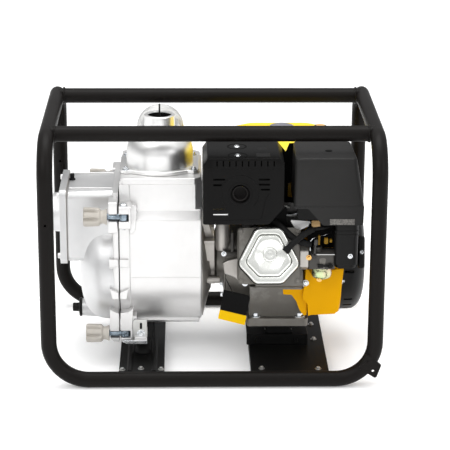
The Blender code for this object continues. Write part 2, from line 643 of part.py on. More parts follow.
def build_intake():
    """Air cleaner, its duct, and the carburetor with its bowl."""
    y = AIR_BOX_Y
    low = [(0.165, y[0]), (0.3055, y[0]), (0.3055, y[1]), (0.165, y[1])]
    high = [(0.166, y[0] + 0.003), (0.290, y[0] + 0.003), (0.286, y[1] - 0.001),
            (0.168, y[1] - 0.001)]
    split, top, wall = 0.3711, 0.4695, 0.003
    cover = part("air_cleaner_cover", taper(low, high, split, top), "black_plastic")
    cut(cover, taper(low, high, split - wall, top - wall, wall))
    tray = [(0.165, split - GAP), (0.165, 0.365), (0.190, 0.365), (0.222, 0.330),
            (0.3045, 0.330), (0.3055, split - GAP)]
    base = part("air_cleaner_base", prism(tray, y[0] + 0.001, y[1], "Y"), "black_plastic")
    throat_y, throat_z = CARB
    fuse(base, block((0.2515, 0.2955), (throat_y - 0.022, throat_y + 0.022), (0.232, 0.334),
                     0.006))
    cut(base, rod(0.014, throat_z, 0.39, "Z", 16), at=(0.2755, throat_y, 0))
    cut(base, rod(0.014, 0.24, 0.2755, sides=16), at=(0, throat_y, throat_z))

    carb = part("carburetor", block((0.1945, 0.2512), (throat_y - 0.020, throat_y + 0.020),
                                    (0.2300, 0.2670), 0.004, "Z"), "engine_grey")
    fuse(carb, block((0.1790, 0.1965), (throat_y - 0.020, throat_y + 0.024), (0.222, 0.276),
                     0.006, "X"))
    cut(carb, rod(0.0115, 0.17, 0.26, sides=16), at=(0, throat_y, throat_z))
    depth = 0.0257
    bowl = [(0, 0), (0, 0.012), (0.004, 0.0195), (0.021, 0.0215), (depth, 0.0225), (depth, 0)]
    part("float_bowl", lathe(bowl, "Z"), "bright_zinc",
         at=(0.2255, throat_y + 0.002, 0.2300 - GAP - depth))


def build_exhaust():
    """Heat guard, open at the back, and the muffler can inside it."""
    x, y, z = (-0.0190, 0.1445), AIR_BOX_Y, (0.3317, 0.4705)
    wall = 0.0025
    hole_x, hole_z = EXHAUST

    def section(inset):
        a, b, c, d = x[0] + inset, x[1] - inset, z[0] + inset, z[1] - inset
        return [(a, c), (b - 0.030, c), (b, c + 0.035), (b, d - 0.012), (b - 0.010, d),
                (a + 0.010, d), (a, d - 0.014)]

    guard = part("muffler_guard", prism(section(0), y[0], y[1], "Y"), "black_paint")
    cut(guard, prism(section(wall), y[0] + wall, y[1] + 0.01, "Y"))
    cut(guard, rod(0.0195, -0.20, -0.18, "Y"), at=(hole_x, 0, hole_z))

    gap = 0.010
    can = part("muffler", block((x[0] + gap, x[1] - gap), (y[0] + gap, y[1] - 0.004),
                                (z[0] + 0.036, z[1] - gap), 0.020, "Y"), "iron")
    cut(can, block((x[0] + gap + 0.002, x[1] - gap - 0.002), (y[0] + gap + 0.002, y[1] - 0.006),
                   (z[0] + 0.038, z[1] - gap - 0.002), 0.018, "Y"))
    fuse(can, ring(0.0135, 0.0155, y[0] + 0.003, y[0] + gap + 0.0015, "Y", 20),
         at=(hole_x, 0, hole_z))
    cut(can, rod(0.0136, -0.20, -0.17, "Y", 20), at=(hole_x, 0, hole_z))


def build_starter_side():
    """Fan shroud, recoil cover and grip, all round the shaft's axis."""
    centre = (0, 0, SHAFT_Z)
    x0, x1, x2 = 0.2045, 0.2700, 0.3215
    drum = [(x0, 0.1220), (x0, 0.1250), (x1, 0.1250), (x1, 0.1080), (x1 - 0.003, 0.1080),
            (x1 - 0.003, 0.1220)]
    shroud = part("fan_shroud", lathe(drum, closed=True, sides=24), "yellow_paint", at=centre)
    fuse(shroud, box((0.1475, x0 + 0.004), (-0.1210, -0.1180), (-0.098, -0.035)))

    outer = [(x1 + GAP, 0.1175), (0.300, 0.1165), (0.316, 0.102), (x2, 0.080), (x2, 0)]
    inner = [(x2 - 0.003, 0), (x2 - 0.003, 0.079), (0.314, 0.099), (0.2985, 0.1132),
             (x1 + GAP, 0.1140)]
    cover = part("recoil_cover", lathe(inner + outer, sides=24), "black_plastic", at=centre)
    cut(cover, rod(0.0045, -0.16, -0.08, "Y", 12), at=(PULL_X, 0, 0), turn=(PULL_TILT, 0, 0))

    grip = part("recoil_grip", rod(0.0022, -0.150, 0.090, "Y", 8), "black_plastic",
                at=(PULL_X, 0, SHAFT_Z), turn=(PULL_TILT, 0, 0))
    fuse(grip, prism(rounded([(-0.0070, -0.034), (0.0070, -0.034), (0.0078, 0.034),
                              (-0.0078, 0.034)], 0.006, 2), -0.158, -0.137, "Y"))
    fuse(grip, lathe([(-0.139, 0.0085), (-0.124, 0.0060)], "Y", 12))


def build_tank():
    """Fuel tank on four legs, and its filler cap."""
    x, y = (0.004, 0.285), (-0.050, 0.150)
    low, shoulder, top = 0.368, 0.4335, 0.4705
    levels = [(low, 0.012), (low + 0.012, 0.0), (shoulder, 0.0), (shoulder + 0.013, 0.008),
              (shoulder + 0.022, 0.034), (top, 0.061)]

    def shell(wall):
        rings = []
        for z, inset in levels:
            d = inset + wall
            height = min(max(z, low + wall), top - wall)
            corners = [(x[0] + d, y[0] + d), (x[1] - d, y[0] + d), (x[1] - d, y[1] - d),
                       (x[0] + d, y[1] - d)]
            flat = rounded(corners, 0.026, 3)
            rings.append([(a, b, height) for a, b in flat])
        if wall:
            rings = rings[:1] + rings[2:]
        return rings_mesh(rings)

    tank = part("fuel_tank", shell(0), "yellow_paint")
    cut(tank, shell(0.0025))
    for leg in (0.060, 0.128):
        for side in (-0.030, 0.085):
            fuse(tank, box((leg - 0.010, leg + 0.010), (side - 0.004, side + 0.004),
                           (0.2903, low + 0.001)))
    fuse(tank, ring(0.0170, 0.0200, top - 0.0015, top + 0.005, "Z", 20), at=(*CAP, 0))
    cut(tank, rod(0.0170, top - 0.010, top + 0.010, "Z", 20), at=(*CAP, 0))
    cap = [(0.0056, 0), (0.0056, 0.0215), (0.0006, 0.0215), (0.0006, 0.0265), (0.0080, 0.0265),
           (0.0110, 0.0240), (0.0110, 0)]
    part("fuel_cap", lathe(cap, "Z"), "bright_zinc", at=(*CAP, top))


def lever(name, look, at, length, bearing, width=0.004, thick=0.002, tip=0.0035):
    """A flat lever in the XZ plane that turns about Y at its boss."""
    thing = part(name, rod(0.0055, -thick / 2, thick / 2, "Y", 12), look, at=at)
    turn = (0, bearing, 0)
    fuse(thing, box((-width / 2, width / 2), (-thick / 2, thick / 2), (0.003, length)), turn=turn)
    fuse(thing, block((-tip, tip), (-thick / 2 - 0.0015, thick / 2 + 0.0015),
                      (length - 0.002, length + 0.010), 0.001, "Y"), turn=turn)


def build_controls():
    """Bracket, throttle, choke and fuel levers, stop switch, dipstick, ignition lead."""
    step = [(-0.118, 0.299), (-0.050, 0.299), (-0.050, 0.2905), (-0.030, 0.2905),
            (-0.030, 0.2925), (-0.048, 0.2925), (-0.048, 0.301), (-0.116, 0.301),
            (-0.116, 0.356), (-0.118, 0.356)]
    part("control_bracket", prism(step, 0.1475, 0.193), "bright_zinc")
    front = CARB[0] - 0.020
    lever("throttle_lever", "black_paint", (0.1600, -0.1210, 0.3300), 0.036,
          math.radians(90), width=0.007, tip=0.005)
    lever("choke_lever", "bright_zinc", (0.2080, front - 0.0032, 0.2590), 0.026,
          math.radians(5))
    lever("fuel_valve_lever", "black_plastic", (0.2410, front - 0.0032, 0.2380), 0.016,
          math.radians(-90), width=0.005)
    rise = math.radians(50)
    radial = Vector((0, math.cos(rise), math.sin(rise)))
    switch = part("engine_switch", lathe([(0, 0), (0, 0.013), (0.010, 0.012), (0.010, 0)],
                                         "Z", 16), "red_plastic",
                  at=Vector((0.237, 0, SHAFT_Z)) + radial * (0.1250 + GAP),
                  turn=(rise - math.pi / 2, 0, 0))
    fuse(switch, block((-0.011, 0.011), (-0.003, 0.003), (0.009, 0.018), 0.001))
    stick = [(-0.015, 0), (-0.015, 0.0100), (0.0004, 0.0100), (0.0004, 0.0170),
             (0.008, 0.0170), (0.020, 0.0130), (0.020, 0)]
    part("oil_dipstick", lathe(stick, "Y", 16), "black_plastic", at=(0.100, 0.111, 0.165))
    route = smooth_route([(0.150, -0.2030, 0.2830), (0.163, -0.1990, 0.2960),
                          (0.182, -0.1880, 0.3080), (0.204, -0.1750, 0.3170),
                          (0.226, -0.1700, 0.3190), (0.240, -0.1500, 0.3170),
                          (0.242, -0.1200, 0.3100), (0.235, -0.0910, 0.2940)], 3)
    thick = [0.0062] * 4 + [0.0038] * (len(route) - 4)
    part("ignition_lead", tube_mesh(route, thick, 8), "rubber")


clear_scene()
build_frame()
build_mounts()
build_casing()
build_cover()
build_suction()
build_discharge()
build_pump_inside()
build_clamps()
build_crankcase()
build_top_end()
build_rotating()
build_intake()
build_exhaust()
build_starter_side()
build_tank()
build_controls()
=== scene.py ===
"""The looks of the petrol-engine trash pump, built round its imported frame.

Metres, +Z up.  The pump is at -X and the pull starter at +X, the shaft lies along X, and the
valve cover faces -Y.  Shapes are made by short builders below, group by group.
"""

import math
import random

import bmesh
import bpy
from mathutils import Euler, Matrix, Vector


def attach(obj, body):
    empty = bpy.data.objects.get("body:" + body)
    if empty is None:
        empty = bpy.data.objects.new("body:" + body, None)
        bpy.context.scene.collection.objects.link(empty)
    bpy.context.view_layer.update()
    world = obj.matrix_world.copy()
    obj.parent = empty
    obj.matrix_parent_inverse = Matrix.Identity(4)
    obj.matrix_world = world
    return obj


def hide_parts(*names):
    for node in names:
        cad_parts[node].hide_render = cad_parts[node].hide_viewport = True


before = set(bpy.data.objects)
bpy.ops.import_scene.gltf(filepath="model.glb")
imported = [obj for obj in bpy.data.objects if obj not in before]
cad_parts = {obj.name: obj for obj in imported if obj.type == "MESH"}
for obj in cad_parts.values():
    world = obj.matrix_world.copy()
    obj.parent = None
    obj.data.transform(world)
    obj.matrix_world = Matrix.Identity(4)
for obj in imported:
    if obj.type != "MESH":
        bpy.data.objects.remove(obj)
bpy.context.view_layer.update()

# ---- driving dimensions, as in the frame -----------------------------------------------
TUBE_R = 0.016
HALF_X, HALF_Y = 0.331, 0.235            # the frame tubes' centre lines
RAIL_Z = 0.5095
LOW_BEND, FRONT_BEND, REAR_BEND = 0.080, 0.078, 0.055
FRONT_BAR_Y, REAR_BAR_Y = -0.144, 0.170
DECK_Z = 0.026
SHAFT_Z = 0.205
SHAFT = (0, 0, SHAFT_Z)
INCLINE = math.radians(18)
CYLINDER = {"at": (0.115, 0, SHAFT_Z), "turn": (-INCLINE, 0, 0)}
DRUM = (0, 0, 0.187)
DRUM_R = 0.120
CASE_X0, CASE_X1, COVER_X = -0.1895, -0.0195, -0.1915
INLET_Z = 0.300
OUTLET = (-0.107, -0.015)
OUTLET_Z, OUTLET_END = 0.458, 0.107
NECK_Y, NECK_TOP = -0.020, 0.518
CLAMP_X = -0.180
UPPER_CLAMP, LOWER_CLAMP = (0.140, 0.3335), (0.115, 0.0705)
DRAIN = (0.020, 0.078)
TANK_TOP = 0.4705
CAP = (0.149, 0.029, 0)


# ---- meshes ----------------------------------------------------------------------------
def mesh_from(bm, name="mesh"):
    bmesh.ops.recalc_face_normals(bm, faces=bm.faces)
    mesh = bpy.data.meshes.new(name)
    bm.to_mesh(mesh)
    bm.free()
    return mesh


def skin(rings, closed=False):
    """Skin a list of rings of points; open ends are capped, a 1-point ring is a pole."""
    bm = bmesh.new()
    loops = [[bm.verts.new(point) for point in ring] for ring in rings]
    pairs = list(zip(loops, loops[1:]))
    if closed:
        pairs.append((loops[-1], loops[0]))
    for low, high in pairs:
        count = max(len(low), len(high))
        for i in range(count):
            j = (i + 1) % count
            if len(low) == 1:
                bm.faces.new((low[0], high[j], high[i]))
            elif len(high) == 1:
                bm.faces.new((low[i], low[j], high[0]))
            else:
                bm.faces.new((low[i], low[j], high[j], high[i]))
    if not closed:
        for end in (loops[0], loops[-1]):
            if len(end) > 2:
                bm.faces.new(end)
    return mesh_from(bm)


def along(axis, a, u, v):
    return {"X": (a, u, v), "Y": (u, a, v), "Z": (u, v, a)}[axis]


def lathe(profile, axis="X", sides=48, closed=False, wave=None):
    """Turn (distance, radius) points round an axis; wave(angle, distance) scales the radius."""
    rings = []
    for a, radius in profile:
        if radius == 0:
            rings.append([along(axis, a, 0, 0)])
            continue
        ring_points = []
        for i in range(sides):
            t = 2 * math.pi * i / sides
            r = radius * (wave(t, a) if wave else 1)
            ring_points.append(along(axis, a, r * math.cos(t), r * math.sin(t)))
        rings.append(ring_points)
    return skin(rings, closed)


def rod(radius, low, high, axis="X", sides=40):
    return lathe([(low, radius), (high, radius)], axis, sides)


def ring(inner, outer, low, high, axis="X", sides=40):
    return lathe([(low, inner), (low, outer), (high, outer), (high, inner)], axis, sides, True)


def prism(outline, low, high, axis="X"):
    return skin([[along(axis, a, u, v) for u, v in outline] for a in (low, high)])


def arc(centre, radius, start, end, steps):
    """Points on an arc, in degrees."""
    turn = [math.radians(start + (end - start) * i / steps) for i in range(steps + 1)]
    return [(centre[0] + radius * math.cos(t), centre[1] + radius * math.sin(t)) for t in turn]


def rounded(corners, radius, steps=6):
    """Round every corner of a flat outline; radius is one number or one for each corner."""
    radii = radius if isinstance(radius, (list, tuple)) else [radius] * len(corners)
    outline = []
    for i, corner in enumerate(corners):
        here = Vector(corner)
        back = (Vector(corners[i - 1]) - here).normalized()
        on = (Vector(corners[(i + 1) % len(corners)]) - here).normalized()
        half = back.angle(on) / 2
        reach = radii[i] / math.tan(half)
        middle = here + (back + on).normalized() * radii[i] / math.sin(half)
        first = here + back * reach - middle
        last = here + on * reach - middle
        for k in range(steps + 1):
            outline.append(tuple(middle + first.lerp(last, k / steps).normalized() * radii[i]))
    return outline


def rect(u, v):
    return [(u[0], v[0]), (u[1], v[0]), (u[1], v[1]), (u[0], v[1])]


def box(x, y, z):
    return prism(rect(y, z), x[0], x[1])


def block(x, y, z, radius=0.004, axis="Z", steps=4):
    """A box whose four edges along one axis are rounded."""
    u, v, a = {"X": (y, z, x), "Y": (x, z, y), "Z": (x, y, z)}[axis]
    return prism(rounded(rect(u, v), radius, steps), a[0], a[1], axis)


def hexagon(across, low, high, axis="Z"):
    """A hexagon nut or bolt head with a chamfered top, given its size across the flats."""
    tip = across / math.sqrt(3)
    corner = (high - low) * 0.22
    return lathe([(low, tip), (high - corner, tip), (high, tip * 0.88)], axis, 6)


def placed(mesh, at=(0, 0, 0), turn=(0, 0, 0)):
    mesh.transform(Matrix.LocRotScale(Vector(at), Euler(turn), None))
    return mesh


def joined(*meshes):
    """One mesh of several, left as separate shells."""
    bm = bmesh.new()
    for mesh in meshes:
        bm.from_mesh(mesh)
    return mesh_from(bm)


def carved(mesh, *tools, operation="DIFFERENCE"):
    """Cut meshes out of a mesh, or join them to it, and return the result."""
    body = bpy.data.objects.new("carved", mesh)
    bpy.context.collection.objects.link(body)
    helpers = []
    for tool in tools:
        helper = bpy.data.objects.new("tool", tool)
        bpy.context.collection.objects.link(helper)
        step = body.modifiers.new("step", "BOOLEAN")
        step.operation = operation
        step.solver = "EXACT"
        step.object = helper
        helpers.append(helper)
    depsgraph = bpy.context.evaluated_depsgraph_get()
    result = bpy.data.meshes.new_from_object(body.evaluated_get(depsgraph))
    for item in [body] + helpers:
        bpy.data.objects.remove(item, do_unlink=True)
    return result


def united(*meshes):
    return carved(meshes[0], *meshes[1:], operation="UNION")


def bent_route(corners, radii, steps=14):
    """A route through corners, with an arc of the given radius at each inner one."""
    route = [Vector(corners[0])]
    for before, corner, after, radius in zip(corners, corners[1:], corners[2:], radii):
        here = Vector(corner)
        back = (Vector(before) - here).normalized()
        on = (Vector(after) - here).normalized()
        half = back.angle(on) / 2
        middle = here + (back + on).normalized() * radius / math.sin(half)
        first = here + back * radius / math.tan(half) - middle
        last = here + on * radius / math.tan(half) - middle
        sweep = first.angle(last)
        for k in range(steps + 1):
            t = k / steps
            spoke = first * math.sin((1 - t) * sweep) + last * math.sin(t * sweep)
            route.append(middle + spoke / math.sin(sweep))
    route.append(Vector(corners[-1]))
    return route


def smooth_route(points, steps=6):
    """A Catmull-Rom curve through points."""
    ends = [Vector(p) for p in points]
    ends = [2 * ends[0] - ends[1]] + ends + [2 * ends[-1] - ends[-2]]
    route = []
    for a, b, c, d in zip(ends, ends[1:], ends[2:], ends[3:]):
        for k in range(steps):
            t = k / steps
            route.append(0.5 * (2 * b + (c - a) * t + (2 * a - 5 * b + 4 * c - d) * t * t
                                + (3 * b - a - 3 * c + d) * t ** 3))
    route.append(ends[-2])
    return route


def tube(route, radius, sides=32):
    """A round tube along a route; radius is one number, or one for each point."""
    points = [Vector(p) for p in route]
    radii = radius if isinstance(radius, list) else [radius] * len(points)
    ways = [(b - a).normalized() for a, b in zip(points, points[1:])]
    tangents = [ways[0]] + [(a + b).normalized() for a, b in zip(ways, ways[1:])] + [ways[-1]]
    side = tangents[0].orthogonal().normalized()
    rings = []
    for i, (point, tangent) in enumerate(zip(points, tangents)):
        if i:
            side = tangents[i - 1].rotation_difference(tangent) @ side
        other = tangent.cross(side)
        turn = [2 * math.pi * k / sides for k in range(sides)]
        rings.append([point + (side * math.cos(t) + other * math.sin(t)) * radii[i]
                      for t in turn])
    return skin(rings)


def coil(start, end, radius, wire, turns):
    """A coil spring between two points."""
    a, b = Vector(start), Vector(end)
    axis = (b - a).normalized()
    side = axis.orthogonal().normalized()
    other = axis.cross(side)
    steps = turns * 12
    route = []
    for k in range(steps + 1):
        t = 2 * math.pi * turns * k / steps
        route.append(a.lerp(b, k / steps) + (side * math.cos(t) + other * math.sin(t)) * radius)
    return tube(route, wire, 6)


# ---- materials -------------------------------------------------------------------------
class Nodes:
    """Short calls for wiring a material."""

    def __init__(self, name):
        self.material = bpy.data.materials.new(name)
        self.material.use_nodes = True
        self.tree = self.material.node_tree
        self.shader = self.tree.nodes["Principled BSDF"]
        where = self.tree.nodes.new("ShaderNodeTexCoord")
        self.place = where.outputs["Object"]

    def link(self, out, socket):
        self.tree.links.new(out, socket)

    def noise(self, scale, detail=4.0, rough=0.55):
        node = self.tree.nodes.new("ShaderNodeTexNoise")
        node.inputs["Scale"].default_value = scale
        node.inputs["Detail"].default_value = detail
        node.inputs["Roughness"].default_value = rough
        self.link(self.place, node.inputs["Vector"])
        return node.outputs["Fac"]

    def ramp(self, value, stops):
        node = self.tree.nodes.new("ShaderNodeValToRGB")
        band = node.color_ramp
        while len(band.elements) < len(stops):
            band.elements.new(0.5)
        for element, (position, colour) in zip(band.elements, stops):
            element.position = position
            element.color = (*colour, 1.0) if len(colour) == 3 else colour
        self.link(value, node.inputs["Fac"])
        return node.outputs["Color"]

    def span(self, value, low, high, to_low, to_high):
        node = self.tree.nodes.new("ShaderNodeMapRange")
        for key, number in (("From Min", low), ("From Max", high),
                            ("To Min", to_low), ("To Max", to_high)):
            node.inputs[key].default_value = number
        self.link(value, node.inputs["Value"])
        return node.outputs["Result"]

    def mix(self, factor, first, second):
        node = self.tree.nodes.new("ShaderNodeMix")
        node.data_type = "RGBA"
        self.link(factor, node.inputs[0])
        for socket, colour in ((node.inputs[6], first), (node.inputs[7], second)):
            if isinstance(colour, tuple):
                socket.default_value = (*colour, 1.0)
            else:
                self.link(colour, socket)
        return node.outputs[2]

    def edges(self, low=0.52, high=0.60):
        """A mask of sharp outer edges, from the surface's pointiness."""
        node = self.tree.nodes.new("ShaderNodeNewGeometry")
        return self.span(node.outputs["Pointiness"], low, high, 0.0, 1.0)

    def bump(self, height, strength, distance=0.001, under=None):
        node = self.tree.nodes.new("ShaderNodeBump")
        node.inputs["Strength"].default_value = strength
        node.inputs["Distance"].default_value = distance
        self.link(height, node.inputs["Height"])
        if under is not None:
            self.link(under, node.inputs["Normal"])
        return node.outputs["Normal"]


def finish(name, dark, light, metallic, rough, patch=9.0, grain=700.0, grain_depth=0.12,
           wear=None, wave=0.0, gloss=0.5):
    """A surface whose colour, gloss and grain all vary, with worn edges if wear is a colour."""
    nodes = Nodes(name)
    shader = nodes.shader
    shader.inputs["Metallic"].default_value = metallic
    shader.inputs["Specular IOR Level"].default_value = gloss
    blotch = nodes.noise(patch, 5.0, 0.6)
    colour = nodes.mix(nodes.span(blotch, 0.35, 0.65, 0.0, 1.0), dark, light)
    if wear:
        worn = nodes.span(nodes.noise(patch * 9, 6.0, 0.7), 0.45, 0.62, 0.0, 1.0)
        both = nodes.tree.nodes.new("ShaderNodeMath")
        both.operation = "MULTIPLY"
        nodes.link(worn, both.inputs[0])
        nodes.link(nodes.edges(), both.inputs[1])
        colour = nodes.mix(both.outputs[0], colour, wear)
    nodes.link(colour, shader.inputs["Base Color"])
    fine = nodes.noise(grain, 3.0, 0.6)
    nodes.link(nodes.span(blotch, 0.3, 0.7, rough * 0.86, rough * 1.14),
               shader.inputs["Roughness"])
    normal = nodes.bump(fine, grain_depth, 0.0006)
    if wave:
        normal = nodes.bump(nodes.noise(patch * 5, 2.0, 0.5), wave, 0.002, normal)
    nodes.link(normal, shader.inputs["Normal"])
    return nodes.material


LOOKS = {
    # name: (record slot, material settings)
    "frame_black": ("frame_black", dict(dark=(0.0052, 0.0043, 0.0038),
                    light=(0.0066, 0.0056, 0.0050), metallic=0.0, rough=0.44, patch=4, grain=900,
                    grain_depth=0.05, gloss=0.10)),
    "base_black": ("black_paint", dict(dark=(0.0030, 0.0030, 0.0029),
                   light=(0.0042, 0.0042, 0.0040), metallic=0.0, rough=0.42, patch=4, grain=900,
                   grain_depth=0.06, gloss=0.12)),
    "heat_black": ("black_paint", dict(dark=(0.0028, 0.0027, 0.0026),
                   light=(0.0036, 0.0034, 0.0033), metallic=0.0, rough=0.34, patch=5, grain=1200,
                   grain_depth=0.08, gloss=0.09)),
    # deep_black is near-black and matte; it paints the shade in the gap sheets, the guard dimples
    # and the valve cover's step below, and colours the air box nut.
    "deep_black": ("black_paint", dict(dark=(0.0020, 0.0020, 0.0020),
                   light=(0.0032, 0.0032, 0.0032), metallic=0.0, rough=0.6, patch=8, grain=900,
                   grain_depth=0.1, gloss=0.06)),
    "dark_zinc": ("bright_zinc", dict(dark=(0.030, 0.029, 0.028), light=(0.070, 0.068, 0.066),
                  metallic=0.4, rough=0.45, patch=40, grain=900, grain_depth=0.1, gloss=0.2)),
    "soot": ("iron", dict(dark=(0.010, 0.0095, 0.009), light=(0.024, 0.022, 0.021),
             metallic=0.3, rough=0.6, patch=18, grain=800, grain_depth=0.3, gloss=0.1)),
    "cast_silver": ("cast_aluminium", dict(dark=(0.66, 0.655, 0.65), light=(0.76, 0.755, 0.75),
                    metallic=0.75, rough=0.40, patch=6, grain=1300, grain_depth=0.20,
                    wave=0.03)),
    "cast_cover": ("cast_aluminium", dict(dark=(0.59, 0.592, 0.595), light=(0.69, 0.690, 0.690),
                   metallic=0.75, rough=0.40, patch=6, grain=1300, grain_depth=0.20,
                   wave=0.03)),
    "cast_raw": ("cast_aluminium", dict(dark=(0.36, 0.34, 0.32), light=(0.48, 0.46, 0.43),
                 metallic=0.8, rough=0.42, patch=12, grain=1100, grain_depth=0.25, wave=0.05)),
    "polished": ("polished_aluminium", dict(dark=(0.80, 0.80, 0.79), light=(0.88, 0.88, 0.87),
                 metallic=1.0, rough=0.36, patch=7, grain=1500, grain_depth=0.03, wave=0.02)),
    "valve_silver": ("polished_aluminium", dict(dark=(0.70, 0.71, 0.67), light=(0.80, 0.81, 0.78),
                     metallic=0.9, rough=0.24, patch=10, grain=1300, grain_depth=0.06,
                     wave=0.02)),
    "engine_grey": ("engine_grey", dict(dark=(0.135, 0.127, 0.112), light=(0.155, 0.146, 0.130),
                    metallic=0.45, rough=0.44, patch=5, grain=1000, grain_depth=0.16,
                    wave=0.02, wear=(0.22, 0.21, 0.195))),
    "dark_casting": ("engine_grey", dict(dark=(0.040, 0.038, 0.034), light=(0.065, 0.061, 0.055),
                     metallic=0.4, rough=0.45, patch=14, grain=1000, grain_depth=0.2)),
    "zinc": ("bright_zinc", dict(dark=(0.60, 0.63, 0.66), light=(0.74, 0.76, 0.77),
             metallic=1.0, rough=0.22, patch=30, grain=1800, grain_depth=0.05)),
    "blue_zinc": ("bright_zinc", dict(dark=(0.12, 0.16, 0.20), light=(0.38, 0.45, 0.51),
                  metallic=1.0, rough=0.25, patch=60, grain=1800, grain_depth=0.05)),
    "steel": ("bright_zinc", dict(dark=(0.45, 0.45, 0.44), light=(0.58, 0.58, 0.56),
              metallic=1.0, rough=0.32, patch=30, grain=1500, grain_depth=0.1)),
    "knob_grey": ("beige_plastic", dict(dark=(0.43, 0.400, 0.355), light=(0.49, 0.460, 0.415),
                  metallic=0.15, rough=0.42, patch=22, grain=1200, grain_depth=0.12)),
    "black_plastic": ("black_plastic", dict(dark=(0.0048, 0.0047, 0.0046),
                      light=(0.0064, 0.0062, 0.0060), metallic=0.0, rough=0.42, grain=1600,
                      grain_depth=0.12, gloss=0.16)),
    "box_plastic": ("black_plastic", dict(dark=(0.0138, 0.0134, 0.0130),
                    light=(0.0165, 0.0160, 0.0157), metallic=0.0, rough=0.50, patch=6, grain=1800,
                    grain_depth=0.16, gloss=0.18)),
    "yellow": ("yellow_paint", dict(dark=(0.71, 0.340, 0.0), light=(0.75, 0.365, 0.0),
               metallic=0.0, rough=0.36, patch=5, grain=900, grain_depth=0.03, gloss=0.05)),
    "tank_yellow": ("yellow_paint", dict(dark=(0.86, 0.62, 0.02), light=(0.90, 0.66, 0.03),
                    metallic=0.0, rough=0.34, patch=5, grain=900, grain_depth=0.03, gloss=0.3)),
    "tag_yellow": ("yellow_paint", dict(dark=(0.78, 0.46, 0.0), light=(0.82, 0.50, 0.0),
                   metallic=0.0, rough=0.45, patch=5, grain=900, grain_depth=0.03, gloss=0.1)),
    "rubber": ("rubber", dict(dark=(0.0045, 0.0045, 0.0045), light=(0.0070, 0.0070, 0.0070),
               metallic=0.0, rough=0.62, grain=1200, grain_depth=0.2, gloss=0.12)),
    "iron": ("iron", dict(dark=(0.10, 0.095, 0.09), light=(0.19, 0.18, 0.17),
             metallic=0.9, rough=0.48, patch=18, grain=800, grain_depth=0.3, wave=0.05)),
    "brass": ("bright_zinc", dict(dark=(0.70, 0.42, 0.14), light=(0.82, 0.52, 0.20),
              metallic=1.0, rough=0.28, patch=30, grain=1500, grain_depth=0.05)),
    "red_plastic": ("red_plastic", dict(dark=(0.42, 0.012, 0.008), light=(0.55, 0.02, 0.014),
                    metallic=0.0, rough=0.32, grain=1500, grain_depth=0.1)),
    "card_black": ("black_plastic", dict(dark=(0.0030, 0.0030, 0.0030),
                   light=(0.0042, 0.0042, 0.0042), metallic=0.0, rough=0.40, grain=1500,
                   grain_depth=0.05, gloss=0.06)),
    "foil": ("bright_zinc", dict(dark=(0.04, 0.038, 0.035), light=(0.19, 0.18, 0.165),
             metallic=0.1, rough=0.5, patch=420, grain=1800, grain_depth=0.6)),
    "amber": ("yellow_paint", dict(dark=(0.16, 0.085, 0.0), light=(0.22, 0.12, 0.0),
              metallic=0.0, rough=0.4, patch=40, grain=900, grain_depth=0.1, gloss=0.2)),
    "bowl_zinc": ("bright_zinc", dict(dark=(0.62, 0.42, 0.34), light=(0.50, 0.62, 0.34),
                  metallic=1.0, rough=0.26, patch=28, grain=1500, grain_depth=0.05)),
    "cap_silver": ("bright_zinc", dict(dark=(0.62, 0.62, 0.70), light=(0.70, 0.70, 0.77),
                   metallic=0.9, rough=0.30, patch=20, grain=1500, grain_depth=0.05)),
    "tan": ("beige_plastic", dict(dark=(0.55, 0.33, 0.12), light=(0.65, 0.42, 0.18),
            metallic=0.0, rough=0.45, patch=40, grain=900, grain_depth=0.1)),
}
_made = {}


def material(look):
    if look not in _made:
        _made[look] = finish(look, **LOOKS[look][1])
    return _made[look]


# ---- pieces ----------------------------------------------------------------------------
def piece(name, mesh, look, body="frame", stands_for=(), bevel=0.0, steps=2, sharp=35):
    """A shown piece: its mesh is in the frame's own place, and it rides on a body."""
    mesh.name = name
    mesh.materials.clear()
    mesh.materials.append(material(look))
    mesh.shade_smooth()
    mesh.set_sharp_from_angle(angle=math.radians(sharp))
    thing = bpy.data.objects.new(name, mesh)
    bpy.context.collection.objects.link(thing)
    if bevel:
        step = thing.modifiers.new("bevel", "BEVEL")
        step.width = bevel
        step.segments = steps
        step.limit_method = "ANGLE"
        step.angle_limit = math.radians(30)
        step.harden_normals = True
    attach(thing, body)
    if stands_for:
        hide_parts(*((stands_for,) if isinstance(stands_for, str) else stands_for))
    return thing


def bolt(name, at, axis, across=0.010, height=0.0065, washer=True, look="zinc", body="frame",
         flanged=False):
    """A hexagon-head bolt on a washer; axis is the way its head looks, such as '-Y'."""
    flip = -1 if axis[0] == "-" else 1
    letter = axis[-1]
    low = 0.0012 if washer else 0.0
    meshes = [hexagon(across, low, low + height, "Z")]
    if washer:
        meshes.append(rod(across * 0.92, 0, 0.0012, "Z", 24))
    if flanged:
        meshes.append(lathe([(0, across * 0.85), (0.0016, across * 0.80), (0.0026, across * 0.6)],
                            "Z", 24))
    dish = lathe([(low + height * 0.75, 0.0), (low + height + 0.0008, across * 0.30),
                  (low + height + 0.001, 0.0)], "Z", 16)
    head = carved(meshes[0], dish)
    whole = joined(head, *meshes[1:])
    turn = {"X": (0, math.pi / 2 * flip, 0), "Y": (-math.pi / 2 * flip, 0, 0),
            "Z": (0 if flip > 0 else math.pi, 0, 0)}[letter]
    return piece(name, placed(whole, at, turn), look, body, bevel=0.0003, steps=1)


